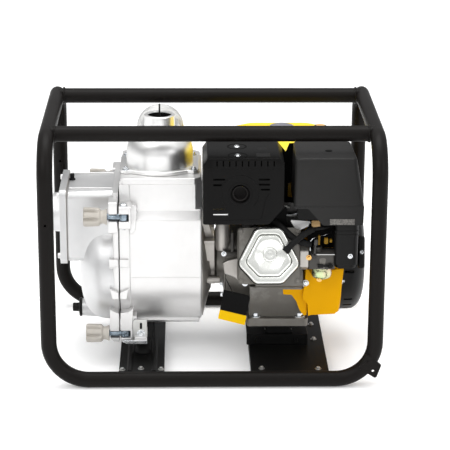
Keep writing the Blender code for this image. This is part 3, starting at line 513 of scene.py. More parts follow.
# ---- carrying frame --------------------------------------------------------------------
def build_frame():
    holes = {-1: [rod(0.0026, -0.26, -0.238, "Y", 16), rod(0.0026, 0.209, 0.232, "Y", 16)],
             1: []}
    for hole, height in zip(holes[-1], (0.3505, 0.3476)):
        placed(hole, (-HALF_X, 0, height))
    for name, side in (("frame_hoop_left", -1), ("frame_hoop_right", 1)):
        seam = 0.011
        x = side * HALF_X
        corners = [(seam, -HALF_Y, TUBE_R), (x, -HALF_Y, TUBE_R), (x, -HALF_Y, RAIL_Z),
                   (x, HALF_Y, RAIL_Z), (x, HALF_Y, TUBE_R), (seam, HALF_Y, TUBE_R)]
        mesh = tube(bent_route(corners, [LOW_BEND, FRONT_BEND, REAR_BEND, LOW_BEND]), TUBE_R)
        if holes[side]:
            mesh = carved(mesh, *holes[side])
        piece(name + "_tube", mesh, "frame_black", stands_for=name)

    for name, y in (("frame_front_bar", FRONT_BAR_Y), ("frame_rear_bar", REAR_BAR_Y)):
        at = (0, y, RAIL_Z)
        piece(name + "_tube", placed(rod(TUBE_R, -HALF_X + 0.004, HALF_X - 0.004, sides=32), at),
              "frame_black", stands_for=name)
        for end in (-1, 1):
            bead = weld_ring(TUBE_R + 0.0006, 0.0022)
            piece(name + ("_weld_left" if end < 0 else "_weld_right"),
                  placed(bead, (end * (HALF_X - TUBE_R + 0.0005), at[1], at[2])), "frame_black")

    tag_plate = [(0.312, 0.0768), (0.2977, 0.0449), (0.333, 0.0216), (0.3435, 0.0516)]
    plate = prism(rounded(tag_plate, 0.004, 5), -0.2509, -0.2466, "Y")
    drills = [placed(rod(0.0028, -0.26, -0.24, "Y", 20), (x, 0, z))
              for x, z in ((0.3155, 0.0600), (0.3265, 0.0385))]
    piece("frame_corner_plate", carved(plate, *drills), "frame_black", bevel=0.0006)


def weld_ring(radius, bead, sides=48):
    """A slightly uneven weld bead round a tube that lies along X."""
    rings = []
    for i in range(sides):
        t = 2 * math.pi * i / sides
        swell = bead * (1 + 0.16 * math.sin(11 * t))
        loop = []
        for k in range(10):
            p = 2 * math.pi * k / 10
            r = radius + swell * 0.8 * math.cos(p)
            loop.append((swell * math.sin(p), r * math.cos(t), r * math.sin(t)))
        rings.append(loop)
    return skin(rings, True)


def build_base():
    """Pressed base channels, the engine's saddle, rubber blocks, and their fasteners."""
    plate, flange, rib_w, rib_h = 0.003, 0.018, 0.006, 0.003
    reach = HALF_Y - TUBE_R - 0.0006
    for name, x0, x1, ribs in (("pump_base_channel", -0.191, -0.098, (-0.169, -0.119)),
                               ("engine_base_channel", 0.080, 0.240, ())):
        top = [(x0, DECK_Z)]
        for rib in ribs:
            top += [(rib - rib_w, DECK_Z), (rib - rib_w / 2, DECK_Z + rib_h),
                    (rib + rib_w / 2, DECK_Z + rib_h), (rib + rib_w, DECK_Z)]
        top.append((x1, DECK_Z))
        under = [(x1, DECK_Z - flange), (x1 - plate, DECK_Z - flange),
                 (x1 - plate, DECK_Z - plate), (x0 + plate, DECK_Z - plate),
                 (x0 + plate, DECK_Z - flange), (x0, DECK_Z - flange)]
        piece(name + "_pressing", prism(top + under, -reach, reach, "Y"), "base_black",
              stands_for=name, bevel=0.0014, steps=3)
        for i, side in enumerate((-1, 1)):
            seam = box((x0 + 0.004, x1 - 0.004), sorted((side * reach, side * (reach + 0.004))),
                       (DECK_Z - 0.0045, DECK_Z - 0.0015))
            piece(name + "_seam_" + "ab"[i], seam, "base_black", bevel=0.0012)
    spots = [(-0.1459, -0.204), (-0.184, -0.210), (-0.1045, -0.208), (-0.1459, 0.204),
             (-0.184, 0.210), (-0.1045, 0.208)]
    for i, (x, y) in enumerate(spots):
        bolt("pump_plate_bolt_%d" % i, (x, y, DECK_Z), "+Z", 0.007, 0.004, look="steel")
    spots = [(0.102, -0.205), (0.218, -0.208), (0.2195, -0.0436), (0.102, 0.205), (0.218, 0.208),
             (0.2195, 0.0436)]
    for i, (x, y) in enumerate(spots):
        bolt("engine_plate_bolt_%d" % i, (x, y, DECK_Z), "+Z", 0.007, 0.004, look="steel")

    low, top, half = DECK_Z + 0.0003, 0.050, 0.075
    hat = [(-half, low), (-half, top), (half, top), (half, low), (half - plate, low),
           (half - plate, top - plate), (-half + plate, top - plate), (-half + plate, low)]
    piece("engine_saddle_hat", prism(hat, 0.075, 0.205), "base_black",
          stands_for="engine_saddle", bevel=0.0014, steps=3)
    for i, (x, y) in enumerate(((0.100, -half), (0.180, -half), (0.100, half), (0.180, half))):
        bolt("saddle_bolt_%d" % i, (x, y, 0.038), "-Y" if y < 0 else "+Y", 0.008, 0.004,
             look="base_black")
    for name, side in (("engine_mount_front", -1), ("engine_mount_rear", 1)):
        rubber = block((0.116, 0.170), (side * 0.050 - 0.020, side * 0.050 + 0.020),
                       (0.0503, 0.0810), 0.006)
        plates = [box((0.113, 0.173), (side * 0.050 - 0.021, side * 0.050 + 0.021), z)
                  for z in ((0.0503, 0.0525), (0.0785, 0.0810))]
        piece(name + "_rubber", rubber, "rubber", stands_for=name, bevel=0.0025, steps=3)
        piece(name + "_plates", joined(*plates), "base_black", bevel=0.0006)
        for k, dx in enumerate((-0.020, 0.020)):
            bolt(name + "_nut_%d" % k, (0.143 + dx, side * 0.050, 0.0525), "+Z", 0.010, 0.006,
                 look="steel")
    for name, side in (("pump_mount_front", -1), ("pump_mount_rear", 1)):
        waist = [(0.0263, 0.0165), (0.029, 0.017)]
        waist += [(0.029 + 0.024 * k / 12, 0.017 - 0.0032 * math.sin(math.pi * k / 12))
                  for k in range(1, 12)]
        waist += [(0.053, 0.017), (0.0557, 0.0165)]
        piece(name + "_rubber", placed(lathe(waist, "Z"), (-0.144, side * 0.112, 0)), "rubber",
              stands_for=name)


# ---- pump ------------------------------------------------------------------------------
def case_outline(grow=0.0, top=0.405, steps=56):
    """The casing's section: round bottom, straight sides and a narrower neck."""
    radius = DRUM_R + grow
    neck = 0.105 + grow
    low = arc((0, DRUM[2]), radius, 180, 360, steps)
    right = [(radius, 0.320), (neck, 0.320 + radius - neck), (neck, top)]
    return low + right + [(-y, z) for y, z in reversed(right)]


def loft_case(stations, top=0.405):
    """Casing sections of (x, grow)."""
    return skin([[(x, y, z) for y, z in case_outline(grow, top)] for x, grow in stations])


def fillet(x, radius, way, grow=0.0, steps=6):
    """Stations that round a casing's end at x over a quarter circle."""
    points = []
    for k in range(steps + 1):
        t = math.pi / 2 * k / steps
        points.append((x - way * radius * (1 - math.sin(t)), grow - radius * (1 - math.cos(t))))
    return points


def build_casing():
    ends = [(CASE_X0 + 0.0005, 0.0), (CASE_X0 + 0.02, 0.0)] + fillet(CASE_X1, 0.006, 1)
    body = loft_case(ends, 0.398)
    corner = prism([(-0.0370, -0.1085), (-0.0150, -0.1085), (-0.0150, -0.0860)], 0.338, 0.42, "Z")
    body = carved(body, corner, mirrored(corner))
    piece("pump_casing_body", body, "cast_silver", stands_for="pump_casing", bevel=0.0015)

    rim = loft_case([(CASE_X0, 0.0022), (CASE_X0 + 0.0195, 0.0022), (CASE_X0 + 0.0225, 0.0)],
                    0.392)
    piece("casing_rim", rim, "cast_silver", bevel=0.0008)
    lip = block((-0.1880, -0.0225), (-0.108, 0.108), (0.3915, 0.405), 0.009, "Z", 6)
    corner = prism([(-0.0360, -0.1095), (-0.0140, -0.1095), (-0.0140, -0.0870)], 0.338, 0.42, "Z")
    piece("casing_lip", carved(lip, corner, mirrored(corner)), "cast_silver", bevel=0.0018, steps=3)
    for i, z in enumerate((0.3177, 0.1946)):
        reach = DRUM_R + 0.0011
        flash = [box((-0.166, -0.0225), sorted((side * (reach - 0.004), side * reach)),
                     (z - 0.0008, z + 0.0008)) for side in (-1, 1)]
        piece("casing_flash_%d" % i, joined(*flash), "cast_silver", bevel=0.0003)
    rail = arc((0, DRUM[2]), 0.1275, 236, 304, 20) + arc((0, DRUM[2]), 0.110, 304, 236, 20)
    piece("casing_rail", prism(rail, -0.166, -0.0245), "cast_silver", bevel=0.0025, steps=3)

    cone = [(-0.0235, 0.1150), (-0.0190, 0.1140), (-0.0170, 0.1120), (-0.004, 0.062),
            (0.000, 0.054), (0.000, 0.0)]
    piece("casing_cone", placed(lathe(cone, sides=64), DRUM), "cast_raw")
    adapter = placed(ring(0.044, 0.0580, -0.0195, 0.0075, sides=64), SHAFT)
    piece("casing_adapter", adapter, "cast_raw", bevel=0.0012, steps=3)
    pad = united(box((-0.0225, 0.0068), (-0.0750, -0.0400), (0.2151, 0.2550)),
                 box((-0.0225, 0.0068), (-0.0770, -0.0400), (0.2530, 0.2606)))
    both_sides("casing_pad", pad, "cast_raw", bevel=0.0015, steps=3)
    bar = placed(rod(0.0075, -0.0205, 0.0183, sides=32), (0, -0.0700, 0.1720))
    both_sides("casing_bar", bar, "cast_raw", bevel=0.0010)
    gusset = prism([(-0.0195, 0.2151), (-0.0195, 0.1860), (0.0040, 0.2151)], -0.0560, -0.0530, "Y")
    both_sides("casing_gusset", gusset, "dark_casting", bevel=0.0006)
    shield = prism([(-0.0200, 0.2600), (-0.0200, 0.3120), (-0.0120, 0.3120), (0.0050, 0.2600)],
                   -0.0540, -0.0500, "Y")
    both_sides("casing_shield", shield, "cast_raw", bevel=0.0010)
    hub = united(placed(rod(0.046, -0.020, 0.0075), SHAFT),
                 box((-0.020, 0.0075), (-0.052, 0.052), (0.199, 0.230)))
    hub = carved(hub, box((-0.012, 0.001), (-0.08, 0.08), (0.176, 0.196)),
                 box((-0.012, 0.001), (-0.08, 0.08), (0.236, 0.256)))
    piece("casing_hub", hub, "cast_raw", bevel=0.0015, steps=3)
    for i, side in enumerate((-1, 1)):
        for k, rise in enumerate((-0.042, 0.042)):
            boss = united(rod(0.0068, -0.022, 0.0078, sides=24),
                          lathe([(-0.030, 0.016), (-0.012, 0.0068)], sides=24))
            piece("casing_boss_%d%d" % (i, k), placed(boss, (0, side * 0.050, SHAFT_Z + rise)),
                  "cast_raw", bevel=0.0006)
            web = [(-0.020, SHAFT_Z + rise * 0.5), (-0.020, SHAFT_Z + rise * 1.75),
                   (0.0045, SHAFT_Z + rise * 0.98)]
            piece("casing_web_%d%d" % (i, k),
                  prism([(x, z) for x, z in web], side * 0.050 - 0.0022, side * 0.050 + 0.0022,
                        "Y"), "cast_raw", bevel=0.0008)
    build_lugs()
    build_casing_feet()


def fork(x, reach, z, half, slot_z, slot_half, slot_x):
    """A lug with a slot that is open outwards, on the -Y side."""
    body = block(x, reach, (z - half[0], z + half[1]), 0.0035, "X")
    gap = box(slot_x, (-0.2, reach[0] + 0.023), (slot_z - slot_half, slot_z + slot_half))
    return carved(body, gap)


def mirrored(mesh):
    """The mesh's copy on the +Y side."""
    copy = mesh.copy()
    copy.transform(Matrix.Scale(-1, 4, (0, 1, 0)))
    copy.flip_normals()
    return copy


def both_sides(name, mesh, look, **settings):
    piece(name + "_front", mesh, look, **settings)
    piece(name + "_rear", mirrored(mesh), look, **settings)


def build_lugs():
    """Forked lugs for the swing bolts on the casing and the cover, and the jacking lugs."""
    y, z = UPPER_CLAMP
    reach = (-y - 0.0105, -0.098)
    slot_half = 0.0078
    casing = fork((CASE_X0, -0.1645), reach, z, (0.024, 0.024), z, slot_half, (-0.20, -0.169))
    casing = carved(casing, placed(rod(0.0043, -0.05, 0.05, "Z", 24), (CLAMP_X, -y, z)))
    both_sides("casing_upper_lug", casing, "cast_silver", bevel=0.0016, steps=3)
    cover = fork((-0.2110, -0.1925), reach, z, (0.033, 0.033), z, slot_half, (-0.23, -0.18))
    both_sides("cover_upper_lug", cover, "cast_silver", bevel=0.0018, steps=3)
    pad = prism(rounded([(-0.1685, 0.2810), (-0.1560, 0.2990), (-0.1530, 0.3520),
                         (-0.1685, 0.3545)], 0.004, 5), -0.1245, -0.098, "Y")
    both_sides("casing_upper_pad", pad, "cast_silver", bevel=0.003, steps=4)

    y, z = LOWER_CLAMP
    front = -y - 0.0105
    arm = LOWER_CLAMP[1] - 0.016
    wing = [(CASE_X0, arm), (-0.1645, arm), (-0.1645, 0.090), (-0.1628, 0.1275),
            (-0.1720, 0.1205), (CASE_X0, 0.1175)]
    gap = box((-0.20, -0.169), (-0.2, -y + 0.012), (z - slot_half, z + slot_half))
    casing = carved(prism(wing, front, -0.080, "Y"), gap)
    both_sides("casing_lower_lug", casing, "cast_silver", bevel=0.0016, steps=3)
    wing = [(-0.1925, arm), (-0.2040, arm), (-0.2110, arm + 0.0070), (-0.2110, 0.1265),
            (-0.2020, 0.1205), (-0.1925, 0.1175)]
    gap = box((-0.23, -0.18), (-0.2, -y + 0.0115), (z - slot_half, z + slot_half))
    cover = carved(prism(wing, front, -0.080, "Y"), gap)
    both_sides("cover_lower_lug", cover, "cast_silver", bevel=0.0016, steps=3)

    for label, x in (("cover", (-0.2110, -0.1925)), ("casing", (CASE_X0, -0.1710))):
        lug = united(box(x, (-0.1258, -0.100), (0.2175, 0.2365)),
                     box(x, (-0.1275, -0.100), (0.2175, 0.2200)),
                     box(x, (-0.1275, -0.100), (0.2340, 0.2365)))
        both_sides(label + "_middle_lug", lug, "cast_silver", bevel=0.0010, steps=3)
        outer = x[0] if label == "cover" else x[1]
        inner = x[1] if label == "cover" else x[0]
        lean = (inner - outer) * 0.28
        cup = [(inner, 0.1500), (outer + lean, 0.1500), (outer + lean * 0.7, 0.1600),
               (outer, 0.1735), (outer + lean * 1.2, 0.1700), (inner, 0.1640)]
        both_sides(label + "_cup_lug", prism(cup, -0.1285, -0.098, "Y"), "cast_silver",
                   bevel=0.0010, steps=3)


def build_casing_feet():
    """The casing's feet, with a plated bracket bolted to the front of each."""
    for i, side in enumerate((-1, 1)):
        foot = block((-0.160, -0.1345), sorted((side * 0.075, side * 0.140)), (0.056, 0.070),
                     0.004)
        rib = box((-0.1685, -0.1560), sorted((side * 0.080, side * 0.121)), (0.0565, 0.110))
        piece("casing_foot_%d" % i, united(foot, rib), "cast_silver", bevel=0.0016, steps=3)
        y = side * 0.1225
        shelf = prism(rounded([(-0.1635, 0.0995), (-0.1635, 0.0575), (-0.1345, 0.0575),
                               (-0.1345, 0.1040), (-0.1600, 0.1040)], 0.002, 3),
                      *sorted((y, y + side * 0.003)), "Y")
        ledge = block((-0.1635, -0.1345), sorted((y, side * 0.1395)), (0.0565, 0.0590), 0.002)
        piece("foot_bracket_%d" % i, united(shelf, ledge), "steel", bevel=0.0006)
        # Painted shade: the bracket's slot is not cut; a black patch on its face stands for the
        # dark seen through it.
        slot = block((-0.1495, -0.1445), sorted((y + side * 0.0026, y + side * 0.0036)),
                     (0.083, 0.097), 0.0024, "Y")
        piece("foot_slot_%d" % i, slot, "base_black")
        ledge = [(-0.1850, 0.0630), (-0.1345, 0.0630), (-0.1345, 0.0545), (-0.1760, 0.0545)]
        ledge = prism(ledge, *sorted((side * 0.1370, side * 0.1405)), "Y")
        piece("foot_shelf_%d" % i, ledge, "zinc", bevel=0.0010)
        bolt("foot_bolt_%d" % i, (-0.147, y + side * 0.003, 0.0725),
             "-Y" if side < 0 else "+Y", 0.010, 0.006)
        bolt("mount_nut_%d" % i, (-0.144, side * 0.112, 0.070), "+Z", 0.012, 0.007,
             look="steel")


def build_cover():
    """Front cover: flange, dome, inlet chamber, drain boss, gasket."""
    rim = loft_case([(-0.2035, -0.0012), (-0.2025, 0.0012), (-0.2010, 0.0020),
                     (COVER_X, 0.0020)], 0.374)
    dome = [(-0.196, 0.1210), (-0.206, 0.1205)]
    for k in range(0, 15):
        t = math.pi / 2 * k / 14
        dome.append((-0.2065 - 0.0705 * math.sin(t) ** 0.69, 0.1198 * math.cos(t) ** 0.69))
    dome[-1] = (-0.2770, 0.0)
    piece("pump_cover_rim", rim, "cast_silver", stands_for="pump_cover", bevel=0.0008)
    hollow = block((-0.2935, -0.1800), (-0.073, 0.073), (0.221, 0.362), 0.006, "X")
    piece("pump_cover_dome", carved(placed(lathe(dome, sides=96), DRUM), hollow), "cast_cover")
    chamber = skin([[(x, y, z) for y, z in rounded(
        [(-0.080 - g, 0.214 - g), (0.080 + g, 0.214 - g), (0.080 + g, 0.369 + g - fall),
         (-0.080 - g, 0.369 + g - fall)], 0.014, 8)]
        for x, g, fall in ((-0.300, -0.002, 0.0035), (-0.296, 0.0, 0.003), (-0.200, 0.0, 0.0))])
    bore = lathe([(-0.31, 0.036), (-0.290, 0.036)], sides=48)
    piece("pump_cover_chamber", carved(chamber, placed(bore, (0, 0, INLET_Z)), hollow),
          "cast_cover", bevel=0.0012)
    boss = lathe([(-0.2765, 0.0178), (-0.2755, 0.0190), (-0.250, 0.0200), (-0.215, 0.024)])
    piece("pump_cover_drain_boss", placed(boss, (0, *DRAIN)), "cast_cover")
    gasket = skin([[(x, y, z) for y, z in case_outline(0.0016, 0.374)]
                   for x in (COVER_X + 0.0001, CASE_X0 - 0.0001)])
    piece("cover_gasket_sheet", gasket, "rubber", stands_for="cover_gasket")
    ribs = []
    for y in (-0.055, 0.055):
        ribs.append(box((-0.2950, -0.205), (y - 0.002, y + 0.002), (0.366, 0.3705)))
    piece("pump_cover_ribs", joined(*ribs), "cast_silver", bevel=0.0012)


def build_suction():
    face = -0.3140
    plate = prism(rounded([(-0.083, 0.210), (0.083, 0.210), (0.083, 0.371), (-0.083, 0.371)],
                          0.012, 8), face, -0.3003)
    collar = lathe([(face + 0.002, 0.0480), (face - 0.001, 0.0450), (-0.3165, 0.0425),
                    (-0.3185, 0.0415), (-0.331, 0.0410), (-0.332, 0.0402)], sides=64)
    flange = united(plate, placed(collar, (0, 0, INLET_Z)))
    flange = carved(flange, placed(rod(0.036, -0.34, -0.29, sides=64), (0, 0, INLET_Z)))
    piece("suction_flange_casting", flange, "cast_cover", stands_for="suction_flange",
          bevel=0.0014, steps=3)
    threads = [placed(ring(0.0395, 0.04105, x, x + 0.0012, sides=64), (0, 0, INLET_Z))
               for x in (-0.3300, -0.3276, -0.3252, -0.3228)]
    piece("suction_thread", joined(*threads), "cast_raw", bevel=0.0003)
    gasket = prism(rounded([(-0.0825, 0.2105), (0.0825, 0.2105), (0.0825, 0.3705),
                            (-0.0825, 0.3705)], 0.012, 8), -0.3004, -0.2996)
    piece("suction_gasket", carved(gasket, placed(rod(0.040, -0.34, -0.29), (0, 0, INLET_Z))),
          "cast_raw")
    for i, (y, z) in enumerate(((-0.068, 0.2255), (0.068, 0.2255), (-0.068, 0.3565),
                                (0.068, 0.3565))):
        bolt("suction_bolt_%d" % i, (face, y, z), "-X", 0.0105, 0.005, look="cast_silver")
    screw = joined(lathe([(0.3680, 0.0046), (0.3790, 0.0046), (0.3795, 0.0036)], "Z", 24),
                   lathe([(0.3660, 0.0066), (0.3690, 0.0066)], "Z", 24))
    piece("chamber_screw", placed(screw, (-0.2920, 0.015, 0)), "black_plastic", bevel=0.0004)

    piece("check_valve_disc",
          united(placed(lathe([(0.0003, 0.0), (0.0003, 0.043), (0.001, 0.044), (0.005, 0.044),
                               (0.0057, 0.043), (0.0057, 0.0)]), (-0.296, 0, INLET_Z)),
                 block((-0.296, -0.290), (-0.020, 0.020), (0.300, 0.356), 0.002, "X")),
          "rubber", "check_valve", stands_for="check_valve_flap", bevel=0.0005)

    drain = [(-0.297, 0), (-0.297, 0.0080), (-0.2960, 0.0095), (-0.2835, 0.0095),
             (-0.2825, 0.0190), (-0.2815, 0.0200), (-0.2778, 0.0200), (-0.2768, 0.0190),
             (-0.2768, 0.0121), (-0.264, 0.0121), (-0.264, 0)]

    def flutes(t, a):
        return 1 - 0.05 * (math.cos(6 * t) > 0) if a < -0.283 else 1.0
    piece("drain_plug_body", placed(lathe(drain, sides=72, wave=flutes), (0, *DRAIN)),
          "black_plastic", "drain_plug", stands_for="drain_plug", bevel=0.0004)


def build_discharge():
    """Flange, bell, outlet and priming neck of the polished elbow, and the plug."""
    x, y = OUTLET
    half = [(-0.082, -0.045), (-0.079, -0.058), (-0.070, -0.0625), (-0.058, -0.0605),
            (-0.045, -0.066), (-0.030, -0.0735), (-0.010, -0.0785)]
    outline = half + [(-a, b) for a, b in reversed(half)]
    outline += [(-a, -b) for a, b in outline]
    flange = placed(prism(outline, 0.4053, 0.4130, "Z"), (x, y, 0))
    piece("discharge_flange", flange, "polished", stands_for="discharge_elbow", bevel=0.0016,
          steps=3)
    spring, radius, height = 0.437, 0.0695, 0.062
    bulge = [(0.4095, radius + 0.0035), (0.4120, radius + 0.0008), (0.4150, radius)]
    bulge += [(spring + height * b, radius * a) for a, b in arc((0, 0), 1, 0, 90, 22)[:-1]]
    dome = placed(lathe(bulge + [(spring + height, 0)], "Z", 96), (x, y, 0))
    root = y + 0.012
    pipe_r = 0.044
    nose = [(root - pipe_r * b, pipe_r * a) for a, b in arc((0, 0), 1, 90, 0, 12)[1:]]
    spout = [(OUTLET_END - 0.0012, pipe_r), (OUTLET_END, pipe_r - 0.0012)]
    pipe = placed(lathe([(root - pipe_r, 0)] + nose + spout, "Y", 80), (x, 0, OUTLET_Z))
    neck = placed(lathe([(0.445, 0.0315), (NECK_TOP - 0.0015, 0.0315), (NECK_TOP, 0.030)],
                        "Z", 64), (x, NECK_Y, 0))
    bore = placed(rod(0.038, 0.02, 0.2, "Y", 64), (x, 0, OUTLET_Z))
    mouth = placed(lathe([(0.46, 0.0213), (0.4980, 0.0213), (0.4980, 0.0246),
                          (NECK_TOP - 0.0015, 0.0246), (NECK_TOP + 0.01, 0.0300)], "Z", 48),
                   (x, NECK_Y, 0))
    casting = carved(united(dome, pipe, neck), bore, mouth)
    piece("discharge_casting", casting, "polished", bevel=0.0012, steps=3)
    threads = [placed(ring(0.0425, 0.0480, 0.0790, OUTLET_END - 0.001, "Y", 64),
                      (x, 0, OUTLET_Z))]
    threads += [placed(ring(0.0470, 0.0500, a, a + 0.0016, "Y", 64), (x, 0, OUTLET_Z))
                for a in (0.0800, 0.0838, 0.0876, 0.0914, 0.0952, 0.0990, 0.1028)]
    piece("discharge_thread", joined(*threads), "polished", bevel=0.0003)
    for i, (bx, by) in enumerate(((-0.1765, -0.0700), (-0.0375, -0.0700), (-0.1765, 0.040),
                                  (-0.0375, 0.040))):
        bolt("discharge_bolt_%d" % i, (bx, by, 0.4130), "+Z", 0.0085, 0.005)
    sleeve = placed(ring(0.0202, 0.0245, 0.4985, 0.5040, "Z", 48), (x, NECK_Y, 0))
    sleeve = joined(sleeve, placed(ring(0.0236, 0.0245, 0.5040, 0.5150, "Z", 48),
                                   (x, NECK_Y, 0)))
    piece("priming_seat", sleeve, "rubber")
    plug = lathe([(0.4995, 0.0), (0.4995, 0.0200), (0.5045, 0.0200), (0.5055, 0.0190),
                  (0.5055, 0.0)], "Z", 48)
    fin = prism(rounded([(-0.013, 0.504), (0.013, 0.504), (0.0115, 0.536), (0.008, 0.538),
                         (-0.008, 0.538), (-0.0115, 0.536)], 0.0012, 3), -0.0016, 0.0016)
    piece("priming_plug_body", placed(united(plug, fin), (x, NECK_Y, 0)), "black_plastic",
          "priming_plug", stands_for="priming_plug", bevel=0.0004)


def build_clamps():
    """Swing bolts with round eyes, upright pins, and fluted knobs."""
    flutes = 6

    def wave(t, a):
        """Deep rounded flutes that run out towards the collar."""
        if a > -0.0475:
            return 1.0
        deep = min(1.0, (-0.0475 - a) / 0.010)
        groove = max(0.0, math.cos(flutes * t) + 0.15) ** 1.2
        return 1 - 0.30 * groove * deep

    profile = [(-0.0715, 0.0), (-0.0735, 0.0066), (-0.0815, 0.0066), (-0.0815, 0.0180),
               (-0.0805, 0.0194), (-0.0780, 0.0200), (-0.0700, 0.0198), (-0.0620, 0.0195),
               (-0.0560, 0.0192), (-0.0520, 0.0190), (-0.0490, 0.0184), (-0.0475, 0.0165),
               (-0.0460, 0.0142), (-0.0440, 0.0136), (-0.0400, 0.0140), (-0.0365, 0.0158),
               (-0.0345, 0.0165), (-0.0335, 0.0163), (-0.0335, 0.0068),
               (-0.0705, 0.0068), (-0.0705, 0.0)]
    places = []
    for height, (y, z), up in (("upper", UPPER_CLAMP, True), ("lower", LOWER_CLAMP, False)):
        for end, side in (("front", -1), ("rear", 1)):
            places.append((height + "_" + end, (CLAMP_X, side * y, z), up))
    for label, at, up in places:
        eye = lathe([(-0.007, 0.0043), (-0.007, 0.0082), (-0.0055, 0.0095), (0.0055, 0.0095),
                     (0.007, 0.0082), (0.007, 0.0043)], "Z", 40, True)
        stem = lathe([(-0.0700, 0.0058), (-0.0690, 0.0065), (-0.0062, 0.0065)], "X", 32)
        threads = [ring(0.0055, 0.0066, -0.0335 + k * 0.0016, -0.0327 + k * 0.0016, "X", 24)
                   for k in range(5)]
        piece("swing_bolt_%s_steel" % label, placed(joined(eye, stem, *threads), at), "blue_zinc",
              "bolt_" + label, stands_for="swing_bolt_" + label)
        piece("clamp_knob_%s_grip" % label,
              placed(lathe(profile, "X", 96, wave=wave), at), "knob_grey", "knob_" + label,
              stands_for="clamp_knob_" + label, sharp=50)
        if up:
            pin = [(-0.0275, 0.0), (-0.0275, 0.0034), (-0.0265, 0.0041), (0.0242, 0.0041),
                   (0.0242, 0.0080), (0.0272, 0.0078), (0.0286, 0.0060), (0.0292, 0.0)]
        else:
            pin = [(-0.0208, 0.0), (-0.0206, 0.0050), (-0.0195, 0.0065), (-0.0163, 0.0065),
                   (-0.0163, 0.0041), (0.0165, 0.0041), (0.0165, 0.0)]
        piece("clamp_pin_%s_steel" % label, placed(lathe(pin, "Z", 32), at), "zinc",
              stands_for="clamp_pin_" + label)


# ---- engine ----------------------------------------------------------------------------
def in_cylinder(mesh):
    """Put a mesh whose -Y axis is the cylinder's in its place."""
    return placed(mesh, **CYLINDER)


def build_crankcase():
    """Crankcase with its foot, ribs and bolts, and the bolted cover towards the pump."""
    corners = [(-0.088, 0.130), (0.111, 0.130), (0.111, 0.290), (-0.060, 0.290),
               (-0.088, 0.250)]
    outline = rounded(corners, [0.012, 0.012, 0.020, 0.012, 0.012])
    case = prism(outline, 0.0298, 0.193)
    skirt = prism([(-0.100, 0.095), (0.102, 0.095), (0.088, 0.142), (-0.085, 0.142)],
                  0.0795, 0.192)
    foot = block((0.074, 0.202), (-0.111, 0.111), (0.0813, 0.0993), 0.008)
    case = carved(case, placed(rod(0.0205, 0.14, 0.21), SHAFT))
    piece("crankcase_body", case, "engine_grey", stands_for="crankcase", bevel=0.003, steps=3)
    piece("crankcase_skirt", skirt, "engine_grey", bevel=0.004, steps=4)
    piece("crankcase_foot", foot, "engine_grey", bevel=0.0025, steps=3)
    ribs = [box((x, x + 0.004), (0.085, 0.1085), (0.098, 0.124)) for x in (0.088, 0.118, 0.148,
                                                                          0.178)]
    ribs += [box((0.050, 0.185), (0.108, 0.1135), (z, z + 0.003)) for z in (0.205, 0.228, 0.251)]
    piece("crankcase_ribs", joined(*ribs), "engine_grey", bevel=0.0012, steps=2)
    for i, (x, y) in enumerate(((0.0925, -0.102), (0.184, -0.102), (0.0925, 0.102),
                                (0.184, 0.102))):
        pad = lathe([(0.0985, 0.0125), (0.1025, 0.0115)], "Z", 32)
        piece("foot_pad_%d" % i, placed(pad, (x, y, 0)), "engine_grey", bevel=0.0006)
        bolt("engine_bolt_%d" % i, (x, y, 0.1025), "+Z", 0.0125, 0.0072)

    flange = prism(outline, 0.0264, 0.0295)
    bell = placed(lathe([(0.0083, 0.0545), (0.0093, 0.0560), (0.0120, 0.0595), (0.0275, 0.0620)],
                        sides=64), SHAFT)
    cover = carved(flange, placed(rod(0.018, 0, 0.04), SHAFT))
    piece("side_cover_flange", cover, "engine_grey", stands_for="crankcase_side_cover",
          bevel=0.0008)
    piece("side_cover_boss", carved(bell, placed(rod(0.018, 0, 0.04), SHAFT)), "engine_grey",
          bevel=0.0010)
    cheek = [(0.0231, 0.2181), (0.0345, 0.2245), (0.0600, 0.2300), (0.0790, 0.2050),
             (0.0760, 0.1720), (0.0700, 0.1680), (0.0493, 0.1850), (0.0263, 0.1950)]
    piece("side_cover_cheek", prism(rounded(cheek, 0.004, 5), -0.1000, -0.0840, "Y"),
          "cast_raw", bevel=0.0035, steps=4)
    post = lathe([(0.2420, 0.0135), (0.2480, 0.0150), (0.2980, 0.0150), (0.3030, 0.0125),
                  (0.3045, 0.0)], "Z", 48)
    piece("side_cover_post", placed(post, (0.0235, -0.0780, 0)), "cast_raw", bevel=0.0008)
    piece("side_cover_rib", box((0.0400, 0.0460), (-0.1000, -0.0800), (0.2330, 0.2860)),
          "dark_casting", bevel=0.0015)
    arm = tube([(0.0250, -0.0960, 0.2400), (0.0420, -0.0960, 0.2385), (0.0600, -0.0920, 0.2380)],
               0.0062, 24)
    piece("side_cover_arm", arm, "dark_casting")
    bolt("side_cover_stud", (0.0255, -0.1010, 0.2400), "-Y", 0.0060, 0.004)
    bolt("cheek_stud", (0.0700, -0.1000, 0.1745), "-Y", 0.0070, 0.004)
    for i, (y, z) in enumerate(((-0.076, 0.142), (0.0, 0.139), (0.098, 0.142), (0.099, 0.210),
                                (0.094, 0.276), (0.030, 0.281), (-0.050, 0.281))):
        bolt("side_cover_bolt_%d" % i, (0.0264, y, z), "-X", 0.0095, 0.006)


